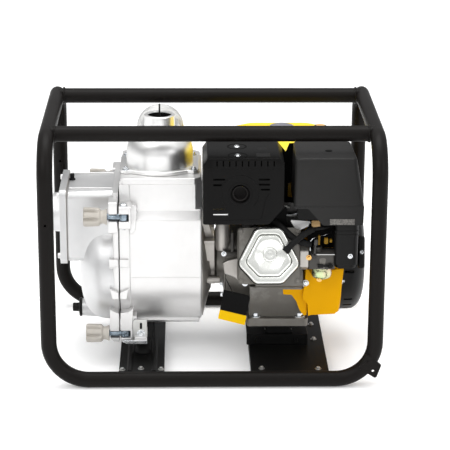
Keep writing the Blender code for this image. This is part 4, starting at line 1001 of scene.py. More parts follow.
def build_top_end():
    """Finned barrel, head and the stepped valve cover, on the inclined cylinder axis."""
    barrel = block((-0.052, 0.052), (-0.150, -0.055), (-0.050, 0.050), 0.012, "Y", 6)
    piece("cylinder_barrel", in_cylinder(barrel), "engine_grey", bevel=0.001)
    fins = [block((-0.062, 0.072), (y, y + 0.0026), (-0.060, 0.057), 0.014, "Y", 6)
            for y in (-0.1480, -0.1400, -0.1320, -0.1240, -0.1160, -0.1080)]
    relief = box((0.058, 0.080), (-0.16, -0.10), (0.038, 0.070))
    piece("barrel_fins", in_cylinder(carved(joined(*fins), relief)), "engine_grey",
          bevel=0.0008)
    head = block((-0.060, 0.063), (-0.183, -0.1503), (-0.058, 0.056), 0.012, "Y", 6)
    grooves = [block((-0.08, 0.08), (y, y + 0.0045), (0.050, 0.07), 0.0018, "X")
               for y in (-0.176, -0.1685, -0.161)]
    grooves += [block((0.055, 0.08), (y, y + 0.0045), (-0.07, 0.07), 0.0018, "Z")
                for y in (-0.176, -0.1685, -0.161)]
    piece("cylinder_head_block", in_cylinder(carved(head, *grooves)), "engine_grey",
          stands_for="cylinder_head", bevel=0.0014, steps=2)
    ledge = [(-0.132, 0.1790), (-0.132, 0.1870), (-0.118, 0.2050), (-0.085, 0.2150),
             (-0.085, 0.1700), (-0.122, 0.1730)]
    piece("barrel_ledge", prism(rounded(ledge, 0.0025, 4), 0.0905, 0.1900), "engine_grey",
          bevel=0.0016, steps=3)
    bulk = [(-0.1230, 0.1760), (-0.1080, 0.1760), (-0.1000, 0.1380), (-0.0860, 0.1380),
            (-0.0860, 0.1000), (-0.1020, 0.1000), (-0.1120, 0.1330)]
    piece("barrel_apron", prism(rounded(bulk, 0.0024, 4), 0.0790, 0.1890), "engine_grey",
          bevel=0.0016, steps=3)

    face = [(-0.026, 0.0565), (0.026, 0.0565), (0.064, -0.018), (0.027, -0.0575),
            (-0.027, -0.0575), (-0.064, -0.018)]
    radii = [0.018, 0.018, 0.018, 0.016, 0.016, 0.018]
    outline = rounded(list(reversed(face)), radii[::-1], 12)

    def drawn_in(by):
        """The cover's outline, moved inwards by about a given distance."""
        return [(u * (1 - by / 0.0575), v * (1 - by / 0.0545)) for u, v in outline]

    levels = [(-0.1833, 0.0), (-0.1990, 0.0), (-0.2030, 0.0006), (-0.2052, 0.0020),
              (-0.2060, 0.0040), (-0.2060, 0.0118), (-0.2054, 0.0128), (-0.2030, 0.0134),
              (-0.2030, 0.0140), (-0.2058, 0.0150), (-0.2071, 0.0170), (-0.2075, 0.0190)]
    rings = [[(u, y, v) for u, v in drawn_in(inset)] for y, inset in levels]
    dish = [(-0.2075, 0.0298), (-0.2068, 0.0286), (-0.2034, 0.0160), (-0.2029, 0.0150),
            (-0.2029, 0.0144), (-0.2054, 0.0137), (-0.2062, 0.0120), (-0.2062, 0.0060),
            (-0.2058, 0.0050), (-0.2058, 0.0)]
    shape = skin(rings)
    cap = lathe([(-0.24, 0.0), (-0.24, 0.0298)] + dish, "Y", 96)
    shape = carved(shape, placed(cap, (0.002, 0, 0.002)))
    piece("valve_cover_pressing", in_cylinder(shape), "valve_silver", stands_for="valve_cover",
          sharp=50)
    # Painted shade: a near-black ring along the step of the pressed cover, where its crease lies in
    # shade.
    step = [(-0.2037, 0.0120), (-0.2037, 0.0146), (-0.2026, 0.0146), (-0.2026, 0.0120)]
    step_shade_ring = skin([[(u, y, v) for u, v in drawn_in(inset)] for y, inset in step], True)
    piece("valve_cover_step_shade", in_cylinder(step_shade_ring), "deep_black")
    # A rubber gasket, drawn 3 % wider than the cover and thicker than a real one, so its black edge
    # also paints the shade line round the cover.
    gasket = skin([[(u * 1.03, y, v * 1.03) for u, v in outline] for y in (-0.1875, -0.1832)])
    piece("valve_cover_gasket_and_shade", in_cylinder(gasket), "rubber")
    for i, (u, v) in enumerate(((-0.0565, 0.0495), (0.0590, 0.0480), (-0.0560, -0.0520),
                                (0.0590, -0.0520))):
        stud = joined(hexagon(0.0075, 0.0010, 0.0050, "Z"), rod(0.0062, 0, 0.0010, "Z", 24))
        piece("head_bolt_%d" % i, in_cylinder(placed(stud, (u, -0.183, v), (math.pi / 2, 0, 0))),
              "engine_grey", bevel=0.0003, steps=1)


def build_exhaust():
    """Slotted heat guard with its stepped front panel, over the muffler can."""
    x, y, z = (-0.0190, 0.1445), (-0.190, -0.053), (0.3317, 0.4705)
    wall = 0.0025

    def section(inset):
        a, b, c, d = x[0] + inset, x[1] - inset, z[0] + inset, z[1] - inset
        return rounded([(a, c), (b - 0.030, c), (b, c + 0.035), (b, d - 0.012),
                        (b - 0.010, d), (a + 0.010, d), (a, d - 0.014)],
                       [0.004, 0.010, 0.010, 0.004, 0.004, 0.004, 0.004], 5)

    front = [[(a, y0, b) for a, b in section(inset)]
             for y0, inset in ((y[1], 0.0), (y[0] + 0.0030, 0.0), (y[0] + 0.0010, 0.0008),
                               (y[0], 0.0030))]
    shell = carved(skin(front), prism(section(wall), y[0] + wall, y[1] + 0.01, "Y"))
    hole = placed(rod(0.0195, -0.20, -0.18, "Y", 64), (0.056, 0, 0.397))
    slots = [block((0.0080 + 0.01265 * k, 0.0104 + 0.01265 * k), (-0.20, -0.185),
                   (0.4540, 0.4655), 0.0010, "Y") for k in range(10)]
    for x0, x1, height in ((0.0015, 0.0255, 0.4270), (0.0015, 0.0190, 0.4155),
                           (0.0930, 0.1150, 0.4270), (0.0930, 0.1150, 0.4165),
                           (0.0970, 0.1150, 0.4060), (0.0015, 0.0260, 0.3645),
                           (0.0015, 0.0320, 0.3530)):
        slots.append(block((x0, x1), (-0.20, -0.185), (height - 0.0019, height + 0.0019),
                           0.0016, "Y"))
    for k in range(5):
        slots.append(block((-0.03, -0.01), (-0.165 + 0.016 * k, -0.161 + 0.016 * k),
                           (0.380, 0.430), 0.0018, "X"))
    shell = carved(shell, hole, joined(*slots))
    piece("guard_shell", shell, "heat_black", stands_for="muffler_guard", bevel=0.0006)

    liner = box((-0.012, 0.034), (-0.1868, -0.1862), (0.3492, 0.3568))
    piece("guard_liner", liner, "polished", bevel=0.0002)

    centre = (0.056, -0.1905, 0.397)
    lip = placed(lathe([(-0.0003, 0.0195), (-0.0003, 0.0235), (0.0008, 0.0240),
                        (0.0008, 0.0190)], "Y", 64, True), centre)
    rim = lathe([(0.0002, 0.0365), (-0.0002, 0.0372), (-0.0002, 0.0388), (0.0002, 0.0395),
                 (0.0008, 0.0395), (0.0008, 0.0365)], "Y", 72, True)
    rim = carved(placed(rim, centre), box((0.030, 0.082), (-0.20, -0.18), (0.3300, 0.3780)))
    piece("guard_ring", joined(lip, rim), "heat_black", bevel=0.0002)
    crease = tube(bent_route([(0.1150, -0.1898, 0.3975), (0.1075, -0.1898, 0.3870),
                              (0.0985, -0.1898, 0.3440), (0.0020, -0.1898, 0.3400)],
                             [0.010, 0.004], 8), 0.0009, 12)
    piece("guard_crease", crease, "heat_black")
    band = block((-0.0120, 0.1370), (-0.1904, -0.1885), (0.4475, 0.4492), 0.0006, "Y")
    piece("guard_band", band, "heat_black", bevel=0.0003)
    # Painted shade: the shallow dimples round the guard bolts are drawn in a darker, more matte
    # black than the guard they are pressed into.
    for i, depth in enumerate((-0.1000, -0.1660)):
        dish = lathe([(0.4700, 0.0205), (0.4709, 0.0200), (0.4709, 0.0180), (0.4690, 0.0090),
                      (0.4686, 0.0)], "Z", 48)
        piece("guard_dimple_%d" % i, placed(dish, (0.0510, depth, 0)), "deep_black")
        bolt("guard_bolt_%d" % i, (0.0510, depth, 0.4690), "+Z", 0.0078, 0.0042, washer=False,
             flanged=True)
    pads = [block((0.088, 0.116), (-0.176, -0.150), (0.4700, 0.4708), 0.004),
            block((0.092, 0.112), (-0.128, -0.108), (0.4700, 0.4707), 0.004)]
    piece("guard_embossing", joined(*pads), "heat_black", bevel=0.0003)

    can = block((-0.009, 0.1345), (-0.180, -0.057), (0.3677, 0.4605), 0.020, "Y", 8)
    can = carved(can, placed(rod(0.0136, -0.20, -0.17, "Y"), (0.056, 0, 0.397)))
    seam = block((-0.0098, 0.1353), (-0.133, -0.130), (0.3669, 0.4613), 0.021, "Y", 8)
    pipe = placed(ring(0.0135, 0.0155, -0.187, -0.1785, "Y", 48), (0.056, 0, 0.397))
    piece("muffler_can", can, "soot", stands_for="muffler", bevel=0.004, steps=4)
    piece("muffler_trim", joined(seam, pipe), "soot", bevel=0.0004)
    # Painted shade: a black sheet behind the gap between the guard and the air box hides the tank
    # front, except a V notch at its top where the yellow shows.
    dark_sheet = prism([(0.1400, 0.3100), (0.1720, 0.3100), (0.1720, 0.4650), (0.1604, 0.4650),
                    (0.1535, 0.4470), (0.1400, 0.4640)], -0.0560, -0.0545, "Y")
    piece("guard_gap_painted_shade", dark_sheet, "deep_black", bevel=0.0002)
    tab = box((0.1587, 0.1716), (-0.0575, -0.0558), (0.3486, 0.3790))
    piece("muffler_tab", tab, "amber", bevel=0.0004)
    # Painted shade: a black sheet behind the barrel and linkage that darkens the gap between the
    # guard and the valve cover.
    painted_tone_shape = box((0.1180, 0.1520), (-0.1480, -0.1450), (0.3060, 0.3560))
    piece("barrel_gap_painted_shade", painted_tone_shape, "deep_black", bevel=0.0006)
    elbow = tube(smooth_route([(0.062, -0.118, 0.372), (0.064, -0.122, 0.352),
                               (0.070, -0.136, 0.330), (0.078, -0.146, 0.312)]), 0.0135, 32)
    piece("exhaust_elbow", elbow, "soot")


def taper(low, high, levels):
    """A rounded box between two outlines; levels are (height, share, inset)."""
    rings = []
    for z, share, inset in levels:
        corners = [Vector(a).lerp(Vector(b), share) for a, b in zip(low, high)]
        middle = sum(corners, Vector((0, 0))) / len(corners)
        moved = [(c.x - math.copysign(inset, c.x - middle.x),
                  c.y - math.copysign(inset, c.y - middle.y)) for c in corners]
        rings.append([(a, b, z) for a, b in rounded(moved, 0.009, 8)])
    return skin(rings)


def build_intake():
    """Air cleaner with its clip band and duct, and the carburetor with its bowl."""
    y = (-0.190, -0.053)
    low = [(0.165, y[0]), (0.3055, y[0]), (0.3055, y[1]), (0.165, y[1])]
    high = [(0.166, y[0] + 0.003), (0.290, y[0] + 0.003), (0.286, y[1] - 0.001),
            (0.168, y[1] - 0.001)]
    split, top = 0.3711, 0.4695
    levels = [(split, 0.0, 0.0), (split + 0.001, 0.0, -0.0002), (split + 0.003, 0.03, 0.0)]
    levels += [(split + (top - 0.004 - split) * k / 6, k / 6, 0.0) for k in range(1, 7)]
    levels += [(top - 0.0018, 1.0, 0.0008), (top - 0.0004, 1.0, 0.0022), (top, 1.0, 0.0042)]
    piece("air_box_cover", taper(low, high, levels), "box_plastic",
          stands_for="air_cleaner_cover", sharp=50)
    nut = lathe([(0.4690, 0.0075), (0.4700, 0.0075), (0.4704, 0.0060), (0.4704, 0.0)], "Z", 32)
    piece("air_box_nut", placed(nut, (0.236, -0.130, 0)), "deep_black", bevel=0.0004)

    tray = [(0.165, split - 0.0003), (0.165, 0.3650), (0.1930, 0.3650), (0.2230, 0.3300),
            (0.3045, 0.3300), (0.3055, split - 0.0003)]
    piece("air_box_tray", prism(rounded(tray, [0.002, 0.004, 0.006, 0.006, 0.006, 0.002], 5),
                                y[0] + 0.001, y[1], "Y"), "box_plastic",
          stands_for="air_cleaner_base", bevel=0.0016, steps=3)
    wedge = [(0.1720, 0.3790), (0.2080, 0.3790), (0.2250, 0.3540), (0.2110, 0.3410),
             (0.1720, 0.3410)]
    piece("air_box_bracket", prism(rounded(wedge, 0.004, 5), -0.1880, -0.1560, "Y"),
          "base_black", bevel=0.0015, steps=3)
    patch = box((0.2370, 0.2870), (-0.1899, -0.1888), (0.3315, 0.3435))
    piece("air_box_patch", patch, "foil", bevel=0.0003)
    neck = block((0.2490, 0.2970), (-0.1760, -0.1280), (0.2400, 0.3340), 0.010, "Z", 6)
    foot = block((0.2520, 0.2940), (-0.1725, -0.1300), (0.2320, 0.2420), 0.012, "Z", 6)
    piece("intake_duct", united(neck, foot), "black_plastic", bevel=0.0022, steps=3)
    rings = [block((0.2480, 0.2980), (-0.1768, -0.1272), (z, z + 0.0035), 0.010, "Z", 6)
             for z in (0.3030, 0.3110)]
    piece("intake_duct_ribs", joined(*rings), "black_plastic", bevel=0.0012)
    # Painted shade: a black sheet behind the carburetor that darkens the recess under the air box
    # tray.
    carb_shade_sheet = box((0.1970, 0.2500), (-0.1275, -0.1225), (0.2620, 0.3295))
    piece("carb_painted_shade", carb_shade_sheet, "deep_black", bevel=0.0008)
    bolt("intake_duct_nut", (0.2810, -0.1760, 0.2600), "-Y", 0.0056, 0.004)

    throat_y, throat_z = -0.150, 0.250
    body = block((0.1945, 0.2512), (-0.170, -0.130), (0.2300, 0.2600), 0.006, "Z", 5)
    barrel = placed(rod(0.0170, 0.1945, 0.2512, sides=48), (0, throat_y, throat_z))
    tower = placed(lathe([(0.255, 0.0100), (0.2725, 0.0100), (0.2735, 0.0090)], "Z", 32),
                   (0.216, -0.150, 0))
    flange = prism(rounded([(-0.172, 0.234), (-0.150, 0.222), (-0.126, 0.226), (-0.124, 0.266),
                            (-0.150, 0.277), (-0.172, 0.270)], 0.005, 5), 0.1790, 0.1965)
    carb = carved(united(body, barrel, tower), placed(rod(0.0115, 0.17, 0.26), (0, throat_y,
                                                                                throat_z)))
    piece("carb_body", carb, "dark_casting", stands_for="carburetor", bevel=0.0012)
    piece("carb_flange", carved(flange, placed(rod(0.0115, 0.17, 0.26), (0, throat_y,
                                                                         throat_z))),
          "cast_raw", bevel=0.0012)
    lid = box((0.2030, 0.2500), (-0.1700, -0.1290), (0.2602, 0.2624))
    piece("carb_lid", lid, "steel", bevel=0.0004)
    bowl = [(0.2040, 0.0), (0.2040, 0.0120), (0.2046, 0.0150), (0.2062, 0.0178),
            (0.2090, 0.0200), (0.2125, 0.0210), (0.2180, 0.0214), (0.2262, 0.0216),
            (0.2268, 0.0224), (0.2290, 0.0225), (0.2297, 0.0220), (0.2297, 0.0)]
    piece("carb_bowl", placed(lathe(bowl, "Z", 64), (0.2255, -0.148, 0)), "bowl_zinc",
          stands_for="float_bowl", sharp=60)
    piece("carb_collar", placed(lathe([(0.2300, 0.0224), (0.2520, 0.0230), (0.2575, 0.0205)],
                                      "Z", 64), (0.2255, -0.148, 0)), "engine_grey",
          bevel=0.0004)
    for i, at in enumerate(((0.2200, -0.1640, 0.2062), (0.1970, -0.1720, 0.2560))):
        bolt("carb_screw_%d" % i, at, "-Y", 0.0062, 0.0040, look="brass")
    rods = [tube([(0.1990, -0.1760, 0.2920), (0.1992, -0.1760, 0.2720)], 0.0009, 10),
            tube(smooth_route([(0.1990, -0.1760, 0.2920), (0.206, -0.174, 0.298),
                               (0.220, -0.160, 0.297), (0.240, -0.150, 0.301)]), 0.0009, 10)]
    piece("carb_links", joined(*rods), "zinc")
    clips = [block((0.228, 0.236), (-0.1680, -0.1600), (0.2835, 0.2960), 0.002, "Y"),
             block((0.239, 0.244), (-0.1700, -0.1620), (0.2870, 0.2935), 0.001, "Y"),
             block((0.216, 0.220), (-0.1640, -0.1580), (0.2800, 0.3000), 0.001, "Y")]
    piece("carb_clips", joined(*clips), "amber", bevel=0.0006)


def build_starter_side():
    """Yellow fan shroud, vented recoil cover, rope and grip."""
    x0, x1, x2 = 0.2045, 0.2700, 0.3215
    drum = [(x0, 0.1200), (x0, 0.1240), (x0 + 0.0015, 0.1250), (x1 - 0.002, 0.1250),
            (x1, 0.1235), (x1, 0.1080), (x1 - 0.003, 0.1080), (x1 - 0.003, 0.1200)]
    piece("shroud_drum", placed(lathe(drum, sides=96, closed=True), SHAFT), "yellow",
          stands_for="fan_shroud", sharp=50)
    plate = [(0.1940, 0.2150), (0.2020, 0.2150)]
    scoop = arc((0.2255, 0.2200), 0.0245, 195, 345, 16)
    edge = [(0.2640, 0.2160), (0.2730, 0.2160), (0.2715, 0.2000), (0.2680, 0.1600),
            (0.2625, 0.1230), (0.2560, 0.1165), (0.2060, 0.1140), (0.2010, 0.1120),
            (0.1990, 0.1380), (0.1900, 0.1480), (0.1880, 0.1560), (0.1925, 0.1800)]
    panel = prism(plate + scoop + edge, -0.1290, -0.1165, "Y")
    piece("shroud_front", panel, "yellow", bevel=0.0022, steps=4)
    wing = [(0.1475, 0.1700), (0.1985, 0.1700), (0.1985, 0.1120), (0.1930, 0.1090),
            (0.1830, 0.1230), (0.1760, 0.1420), (0.1660, 0.1560), (0.1490, 0.1570)]
    piece("shroud_wing", prism(rounded(wing, [0.002, 0.001, 0.001, 0.003, 0.008, 0.008, 0.004,
                                              0.002], 5), -0.1210, -0.1180, "Y"), "yellow",
          bevel=0.0008)
    bolt("shroud_bolt_0", (0.1945, -0.1290, 0.1855), "-Y", 0.0075, 0.004, flanged=True)
    for i, angle in enumerate((35, 110, 190, 250, 320)):
        t = math.radians(angle)
        at = (x1 + 0.0005, 0.1165 * math.cos(t) * 0.995, SHAFT_Z + 0.1165 * math.sin(t) * 0.995)
        bolt("shroud_stud_%d" % i, at, "+X", 0.0080, 0.0045, flanged=True)

    cover = [(0.3170, 0.0), (0.3160, 0.0770), (0.3130, 0.0900), (0.3060, 0.1060),
             (0.2980, 0.1120), (0.2900, 0.1130), (x1 + 0.0004, 0.1130), (x1 + 0.0004, 0.1175),
             (0.2900, 0.1170), (0.2990, 0.1158), (0.3060, 0.1115), (0.3130, 0.1040),
             (0.3170, 0.0960), (0.3200, 0.0860), (0.3212, 0.0780), (x2, 0.0690), (x2, 0.0460),
             (0.3190, 0.0430), (0.3190, 0.0)]
    shell = lathe(cover, sides=96)
    slots = []
    for k in range(18):
        t = math.radians(20 * k + 10)
        slot = block((0.30, 0.33), (0.052, 0.074), (-0.0035, 0.0035), 0.003, "X")
        slots.append(placed(slot, (0, 0, 0), (t, 0, 0)))
    for k in range(30):
        t = math.radians(12 * k)
        if abs((math.degrees(t) % 360) - 200) > 14:
            slot = block((0.2765, 0.2960), (0.106, 0.122), (-0.0028, 0.0028), 0.0024, "Y")
            slots.append(placed(slot, (0, 0, 0), (t, 0, 0)))
    slots.append(placed(rod(0.0045, -0.16, -0.08, "Y", 24), (0.3065, 0, 0),
                        (math.radians(-20), 0, 0)))
    shell = carved(shell, joined(*slots))
    piece("recoil_shell", placed(shell, SHAFT), "black_plastic", stands_for="recoil_cover",
          bevel=0.0006)
    dark_sheet = placed(lathe([(0.2980, 0.0), (0.2980, 0.1000), (0.2988, 0.1000), (0.2988, 0.0)],
                          sides=64), SHAFT)
    piece("recoil_screen", dark_sheet, "base_black")

    tilt = math.radians(-20)
    at = (0.3065, 0, SHAFT_Z)
    rope = [(a, 0.0021 + 0.00016 * (k % 2)) for k, a in
            enumerate([-0.130 + 0.0016 * i for i in range(26)])]
    rope = [(-0.150, 0.0021)] + rope + [(0.090, 0.0021)]
    piece("starter_rope", placed(lathe(rope, "Y", 20), at, (tilt, 0, 0)), "black_plastic",
          "starter_grip", stands_for="recoil_grip")
    levels = [(-0.1580, 0.0060), (-0.1576, 0.0030), (-0.1560, 0.0012), (-0.1530, 0.0),
              (-0.1450, 0.0002), (-0.1400, 0.0016), (-0.1375, 0.0040)]
    rings = []
    for a, inset in levels:
        flat = rounded([(-0.0070 + inset, -0.034 + inset), (0.0070 - inset, -0.034 + inset),
                        (0.0078 - inset, 0.034 - inset), (-0.0078 + inset, 0.034 - inset)],
                       max(0.0009, 0.0060 - inset), 6)
        rings.append([(u, a, v) for u, v in flat])
    stem = lathe([(-0.1400, 0.0088), (-0.1330, 0.0070), (-0.1240, 0.0058)], "Y", 32)
    piece("starter_handle", placed(joined(skin(rings), stem), at, (tilt, 0, 0)),
          "black_plastic", "starter_grip", bevel=0.0004)
    knot = lathe([(-0.1604, 0.0), (-0.1600, 0.0030), (-0.1585, 0.0042), (-0.1570, 0.0042)],
                 "Y", 24)
    piece("starter_knot", placed(knot, at, (tilt, 0, 0)), "zinc", "starter_grip")


def build_tank():
    """Fuel tank with its pressed seam, stays, filler neck, cap and gauge."""
    x, y = (0.004, 0.285), (-0.050, 0.150)
    levels = [(0.3680, 0.0160), (0.3710, 0.0090), (0.3760, 0.0035), (0.3800, 0.0010),
              (0.3840, 0.0), (0.4335, 0.0), (0.4380, 0.0012), (0.4425, 0.0042),
              (0.4465, 0.0088), (0.4500, 0.0158), (0.4530, 0.0240), (0.4558, 0.0330),
              (0.4595, 0.0400), (0.4635, 0.0475), (0.4670, 0.0545), (0.4692, 0.0590),
              (TANK_TOP, 0.0630)]

    def outline(inset, radius=0.030):
        corners = [(x[0] + inset, y[0] + inset), (x[1] - inset, y[0] + inset),
                   (x[1] - inset, y[1] - inset), (x[0] + inset, y[1] - inset)]
        return rounded(corners, radius, 12)

    shell = skin([[(a, b, z) for a, b in outline(inset)] for z, inset in levels])
    piece("tank_shell", shell, "tank_yellow", stands_for="fuel_tank", sharp=60)
    seam = skin([[(a, b, z) for a, b in outline(inset)]
                 for z, inset in ((0.4180, 0.0), (0.4186, -0.0028), (0.4206, -0.0028),
                                  (0.4212, 0.0))])
    piece("tank_seam", seam, "tank_yellow", bevel=0.0004)
    neck = ring(0.0170, 0.0200, 0.4690, 0.4755, "Z", 48)
    base = lathe([(0.4690, 0.0270), (0.4709, 0.0262), (0.4712, 0.0210)], "Z", 48)
    piece("tank_neck", placed(joined(neck, base), CAP), "tank_yellow", bevel=0.0004)
    legs = []
    for leg in (0.060, 0.128):
        for side in (-0.030, 0.085):
            legs.append(box((leg - 0.010, leg + 0.010), (side - 0.002, side + 0.002),
                            (0.2905, 0.3690)))
            foot_y = sorted((side, side + (0.016 if side < 0 else -0.016)))
            legs.append(box((leg - 0.010, leg + 0.010), foot_y, (0.2905, 0.2935)))
            bolt("tank_bolt_%d_%d" % (leg * 1000, side > 0),
                 (leg, sum(foot_y) / 2, 0.2935), "+Z", 0.008, 0.004)
    piece("tank_stays", joined(*legs), "base_black", bevel=0.0006)
    gauge = lathe([(0.4600, 0.0125), (0.4725, 0.0125), (0.4735, 0.0112)], "Z", 40)
    piece("tank_gauge", placed(gauge, (0.232, 0.055, 0)), "black_plastic", bevel=0.0003)
    lens = lathe([(0.4730, 0.0100), (0.4740, 0.0095), (0.4745, 0.0)], "Z", 40)
    piece("tank_gauge_lens", placed(lens, (0.232, 0.055, 0)), "tan")

    def knurl(t, a):
        return 1 + 0.022 * (math.cos(24 * t) > 0)
    skirt = [(0.0006, 0.0215), (0.0006, 0.0258), (0.0020, 0.0264), (0.0072, 0.0262),
             (0.0086, 0.0250), (0.0100, 0.0215), (0.0108, 0.0140), (0.0110, 0.0)]
    lid = lathe([(0.0060, 0.0)] + [(0.0060, 0.0212)] + skirt, "Z", 96)
    piece("cap_lid", placed(lid, (CAP[0], CAP[1], TANK_TOP)), "cap_silver", "fuel_cap",
          stands_for="fuel_cap", sharp=50)
    rim = [(0.0010, 0.0255), (0.0014, 0.0262), (0.0064, 0.0262), (0.0070, 0.0255)]
    grips = lathe(rim, "Z", 192, wave=knurl)
    piece("cap_grips", placed(grips, (CAP[0], CAP[1], TANK_TOP)), "cap_silver", "fuel_cap",
          sharp=30)


def lever_mesh(at, length, bearing, width, thick, tip):
    """A lever with a round boss, a tapering arm and a folded tab."""
    boss = rod(0.0055, -thick / 2, thick / 2, "Y", 32)
    arm = prism(rounded([(-width / 2, 0.002), (width / 2, 0.002), (width / 2 * 0.8, length),
                         (-width / 2 * 0.8, length)], width * 0.2, 4), -thick / 2, thick / 2,
                "Y")
    tab = block((-tip, tip), (-thick / 2 - 0.0015, thick / 2 + 0.0015),
                (length - 0.002, length + 0.010), 0.0012, "Y")
    screw = lathe([(-thick / 2 - 0.0018, 0.0), (-thick / 2 - 0.0018, 0.0028),
                   (-thick / 2 + 0.0004, 0.0032)], "Y", 20)
    whole = joined(placed(arm, turn=(0, bearing, 0)), placed(tab, turn=(0, bearing, 0)), boss,
                   screw)
    return placed(whole, at)


def build_controls():
    """Bracket, levers, springs, switch, dipstick, ignition lead and the hang tag."""
    step = [(-0.118, 0.299), (-0.050, 0.299), (-0.050, 0.2905), (-0.030, 0.2905),
            (-0.030, 0.2925), (-0.048, 0.2925), (-0.048, 0.301), (-0.116, 0.301),
            (-0.116, 0.356), (-0.118, 0.356)]
    plate = prism(step, 0.1475, 0.193)
    holes = [placed(rod(0.0035, -0.13, -0.10, "Y", 20), (x, 0, z))
             for x, z in ((0.155, 0.345), (0.184, 0.349), (0.185, 0.330))]
    piece("control_plate", carved(plate, *holes), "dark_zinc", stands_for="control_bracket",
          bevel=0.0008)
    piece("throttle_arm", lever_mesh((0.160, -0.121, 0.330), 0.036, math.radians(90), 0.007,
                                     0.002, 0.005), "base_black", "throttle",
          stands_for="throttle_lever", bevel=0.0003)
    piece("choke_arm", lever_mesh((0.208, -0.1732, 0.259), 0.026, math.radians(5), 0.004, 0.002,
                                  0.0035), "dark_zinc", "choke", stands_for="choke_lever",
          bevel=0.0003)
    piece("fuel_valve_arm", lever_mesh((0.241, -0.1732, 0.238), 0.016, math.radians(-90), 0.005,
                                       0.002, 0.0035), "black_plastic", "fuel_valve",
          stands_for="fuel_valve_lever", bevel=0.0003)

    # Painted highlight: a silver plate set where the black throttle plates catch a pale glint.
    painted_tone_shape = [(0.1583, 0.3294), (0.2006, 0.3270), (0.1960, 0.3160), (0.1736, 0.3043)]
    piece("governor_highlight_plate", prism(rounded(painted_tone_shape, 0.002, 4), -0.1510, -0.1490, "Y"),
          "cast_silver", bevel=0.0006)
    piece("cable_clip", block((0.2030, 0.2205), (-0.1530, -0.1480), (0.3150, 0.3285), 0.002,
                              "Y"), "tan", bevel=0.0008)
    random.seed(4)
    for i in range(4):
        x, z = 0.124 + 0.014 * i, 0.352 - 0.010 * i
        start = (x, -0.128 - 0.002 * i, z)
        end = (x + 0.036, -0.126 - 0.002 * i, z + random.uniform(-0.008, 0.012))
        if i % 2:
            piece("governor_rod_%d" % i, tube(smooth_route([start, Vector(start).lerp(
                Vector(end), 0.5) + Vector((0, -0.003, -0.005)), end]), 0.0010, 10), "zinc")
        else:
            piece("governor_spring_%d" % i, coil(start, end, 0.0030, 0.0005, 14), "steel")
    arm = prism(rounded([(0.1195, 0.3300), (0.1290, 0.3330), (0.1330, 0.3760),
                         (0.1240, 0.3800)], 0.003, 4), -0.1320, -0.1300, "Y")
    piece("governor_arm", arm, "dark_zinc", bevel=0.0004)
    for i, at in enumerate(((0.1285, -0.1320, 0.3420), (0.1560, -0.1190, 0.3450),
                            (0.1860, -0.1190, 0.3380))):
        bolt("governor_bolt_%d" % i, at, "-Y", 0.0062, 0.0040, look="dark_zinc")

    rise = math.radians(50)
    radial = Vector((0, math.cos(rise), math.sin(rise)))
    knob = joined(lathe([(0, 0.0130), (0.0020, 0.0132), (0.0085, 0.0126), (0.0100, 0.0112),
                         (0.0100, 0.0)], "Z", 48),
                  block((-0.011, 0.011), (-0.003, 0.003), (0.009, 0.018), 0.001))
    piece("switch_knob", placed(knob, Vector((0.237, 0, SHAFT_Z)) + radial * 0.1253,
                                (rise - math.pi / 2, 0, 0)), "red_plastic", "stop_switch",
          stands_for="engine_switch", bevel=0.0006)

    def lobes(t, a):
        return 1 - 0.07 * (math.cos(8 * t) > 0) if a > 0.006 else 1
    stick = [(-0.015, 0.0), (-0.015, 0.0100), (0.0004, 0.0100), (0.0004, 0.0165),
             (0.0015, 0.0170), (0.0075, 0.0170), (0.0085, 0.0160), (0.0190, 0.0135),
             (0.0200, 0.0125), (0.0200, 0.0)]
    piece("dipstick_cap", placed(lathe(stick, "Y", 96, wave=lobes), (0.100, 0.111, 0.165)),
          "black_plastic", "dipstick", stands_for="oil_dipstick", bevel=0.0004)
    drain = joined(placed(hexagon(0.014, 0, 0.008, "Z"), (0.165, 0.102, 0.118),
                          (-math.pi / 2, 0, 0)))
    piece("oil_drain_bolt", drain, "zinc", bevel=0.0004)

    route = smooth_route([(0.150, -0.2030, 0.2830), (0.163, -0.1990, 0.2960),
                          (0.182, -0.1880, 0.3080), (0.204, -0.1750, 0.3170),
                          (0.226, -0.1700, 0.3190), (0.240, -0.1500, 0.3170),
                          (0.242, -0.1200, 0.3100), (0.235, -0.0910, 0.2940)], 8)
    boot = 25
    thick = [0.0062 + 0.0006 * (k % 3 == 0) for k in range(boot)]
    thick += [0.0038] * (len(route) - boot)
    piece("ignition_cable", tube(route, thick, 24), "rubber", stands_for="ignition_lead")
    collar = tube([(0.1465, -0.2045, 0.2795), (0.1530, -0.2020, 0.2860)], 0.0080, 24)
    piece("ignition_boot_collar", collar, "rubber", bevel=0.0008)
    hose = tube(smooth_route([(0.1160, -0.140, 0.3320), (0.1400, -0.160, 0.3180),
                              (0.1640, -0.176, 0.3000), (0.1840, -0.184, 0.2920),
                              (0.1980, -0.178, 0.2850)], 8), 0.0068, 24)
    piece("breather_hose", hose, "rubber")
    pipe = tube(smooth_route([(0.066, -0.026, 0.372), (0.075, -0.060, 0.350),
                              (0.112, -0.100, 0.322), (0.165, -0.128, 0.300),
                              (0.205, -0.130, 0.262)], 8), 0.0036, 20)
    piece("fuel_hose", pipe, "rubber")

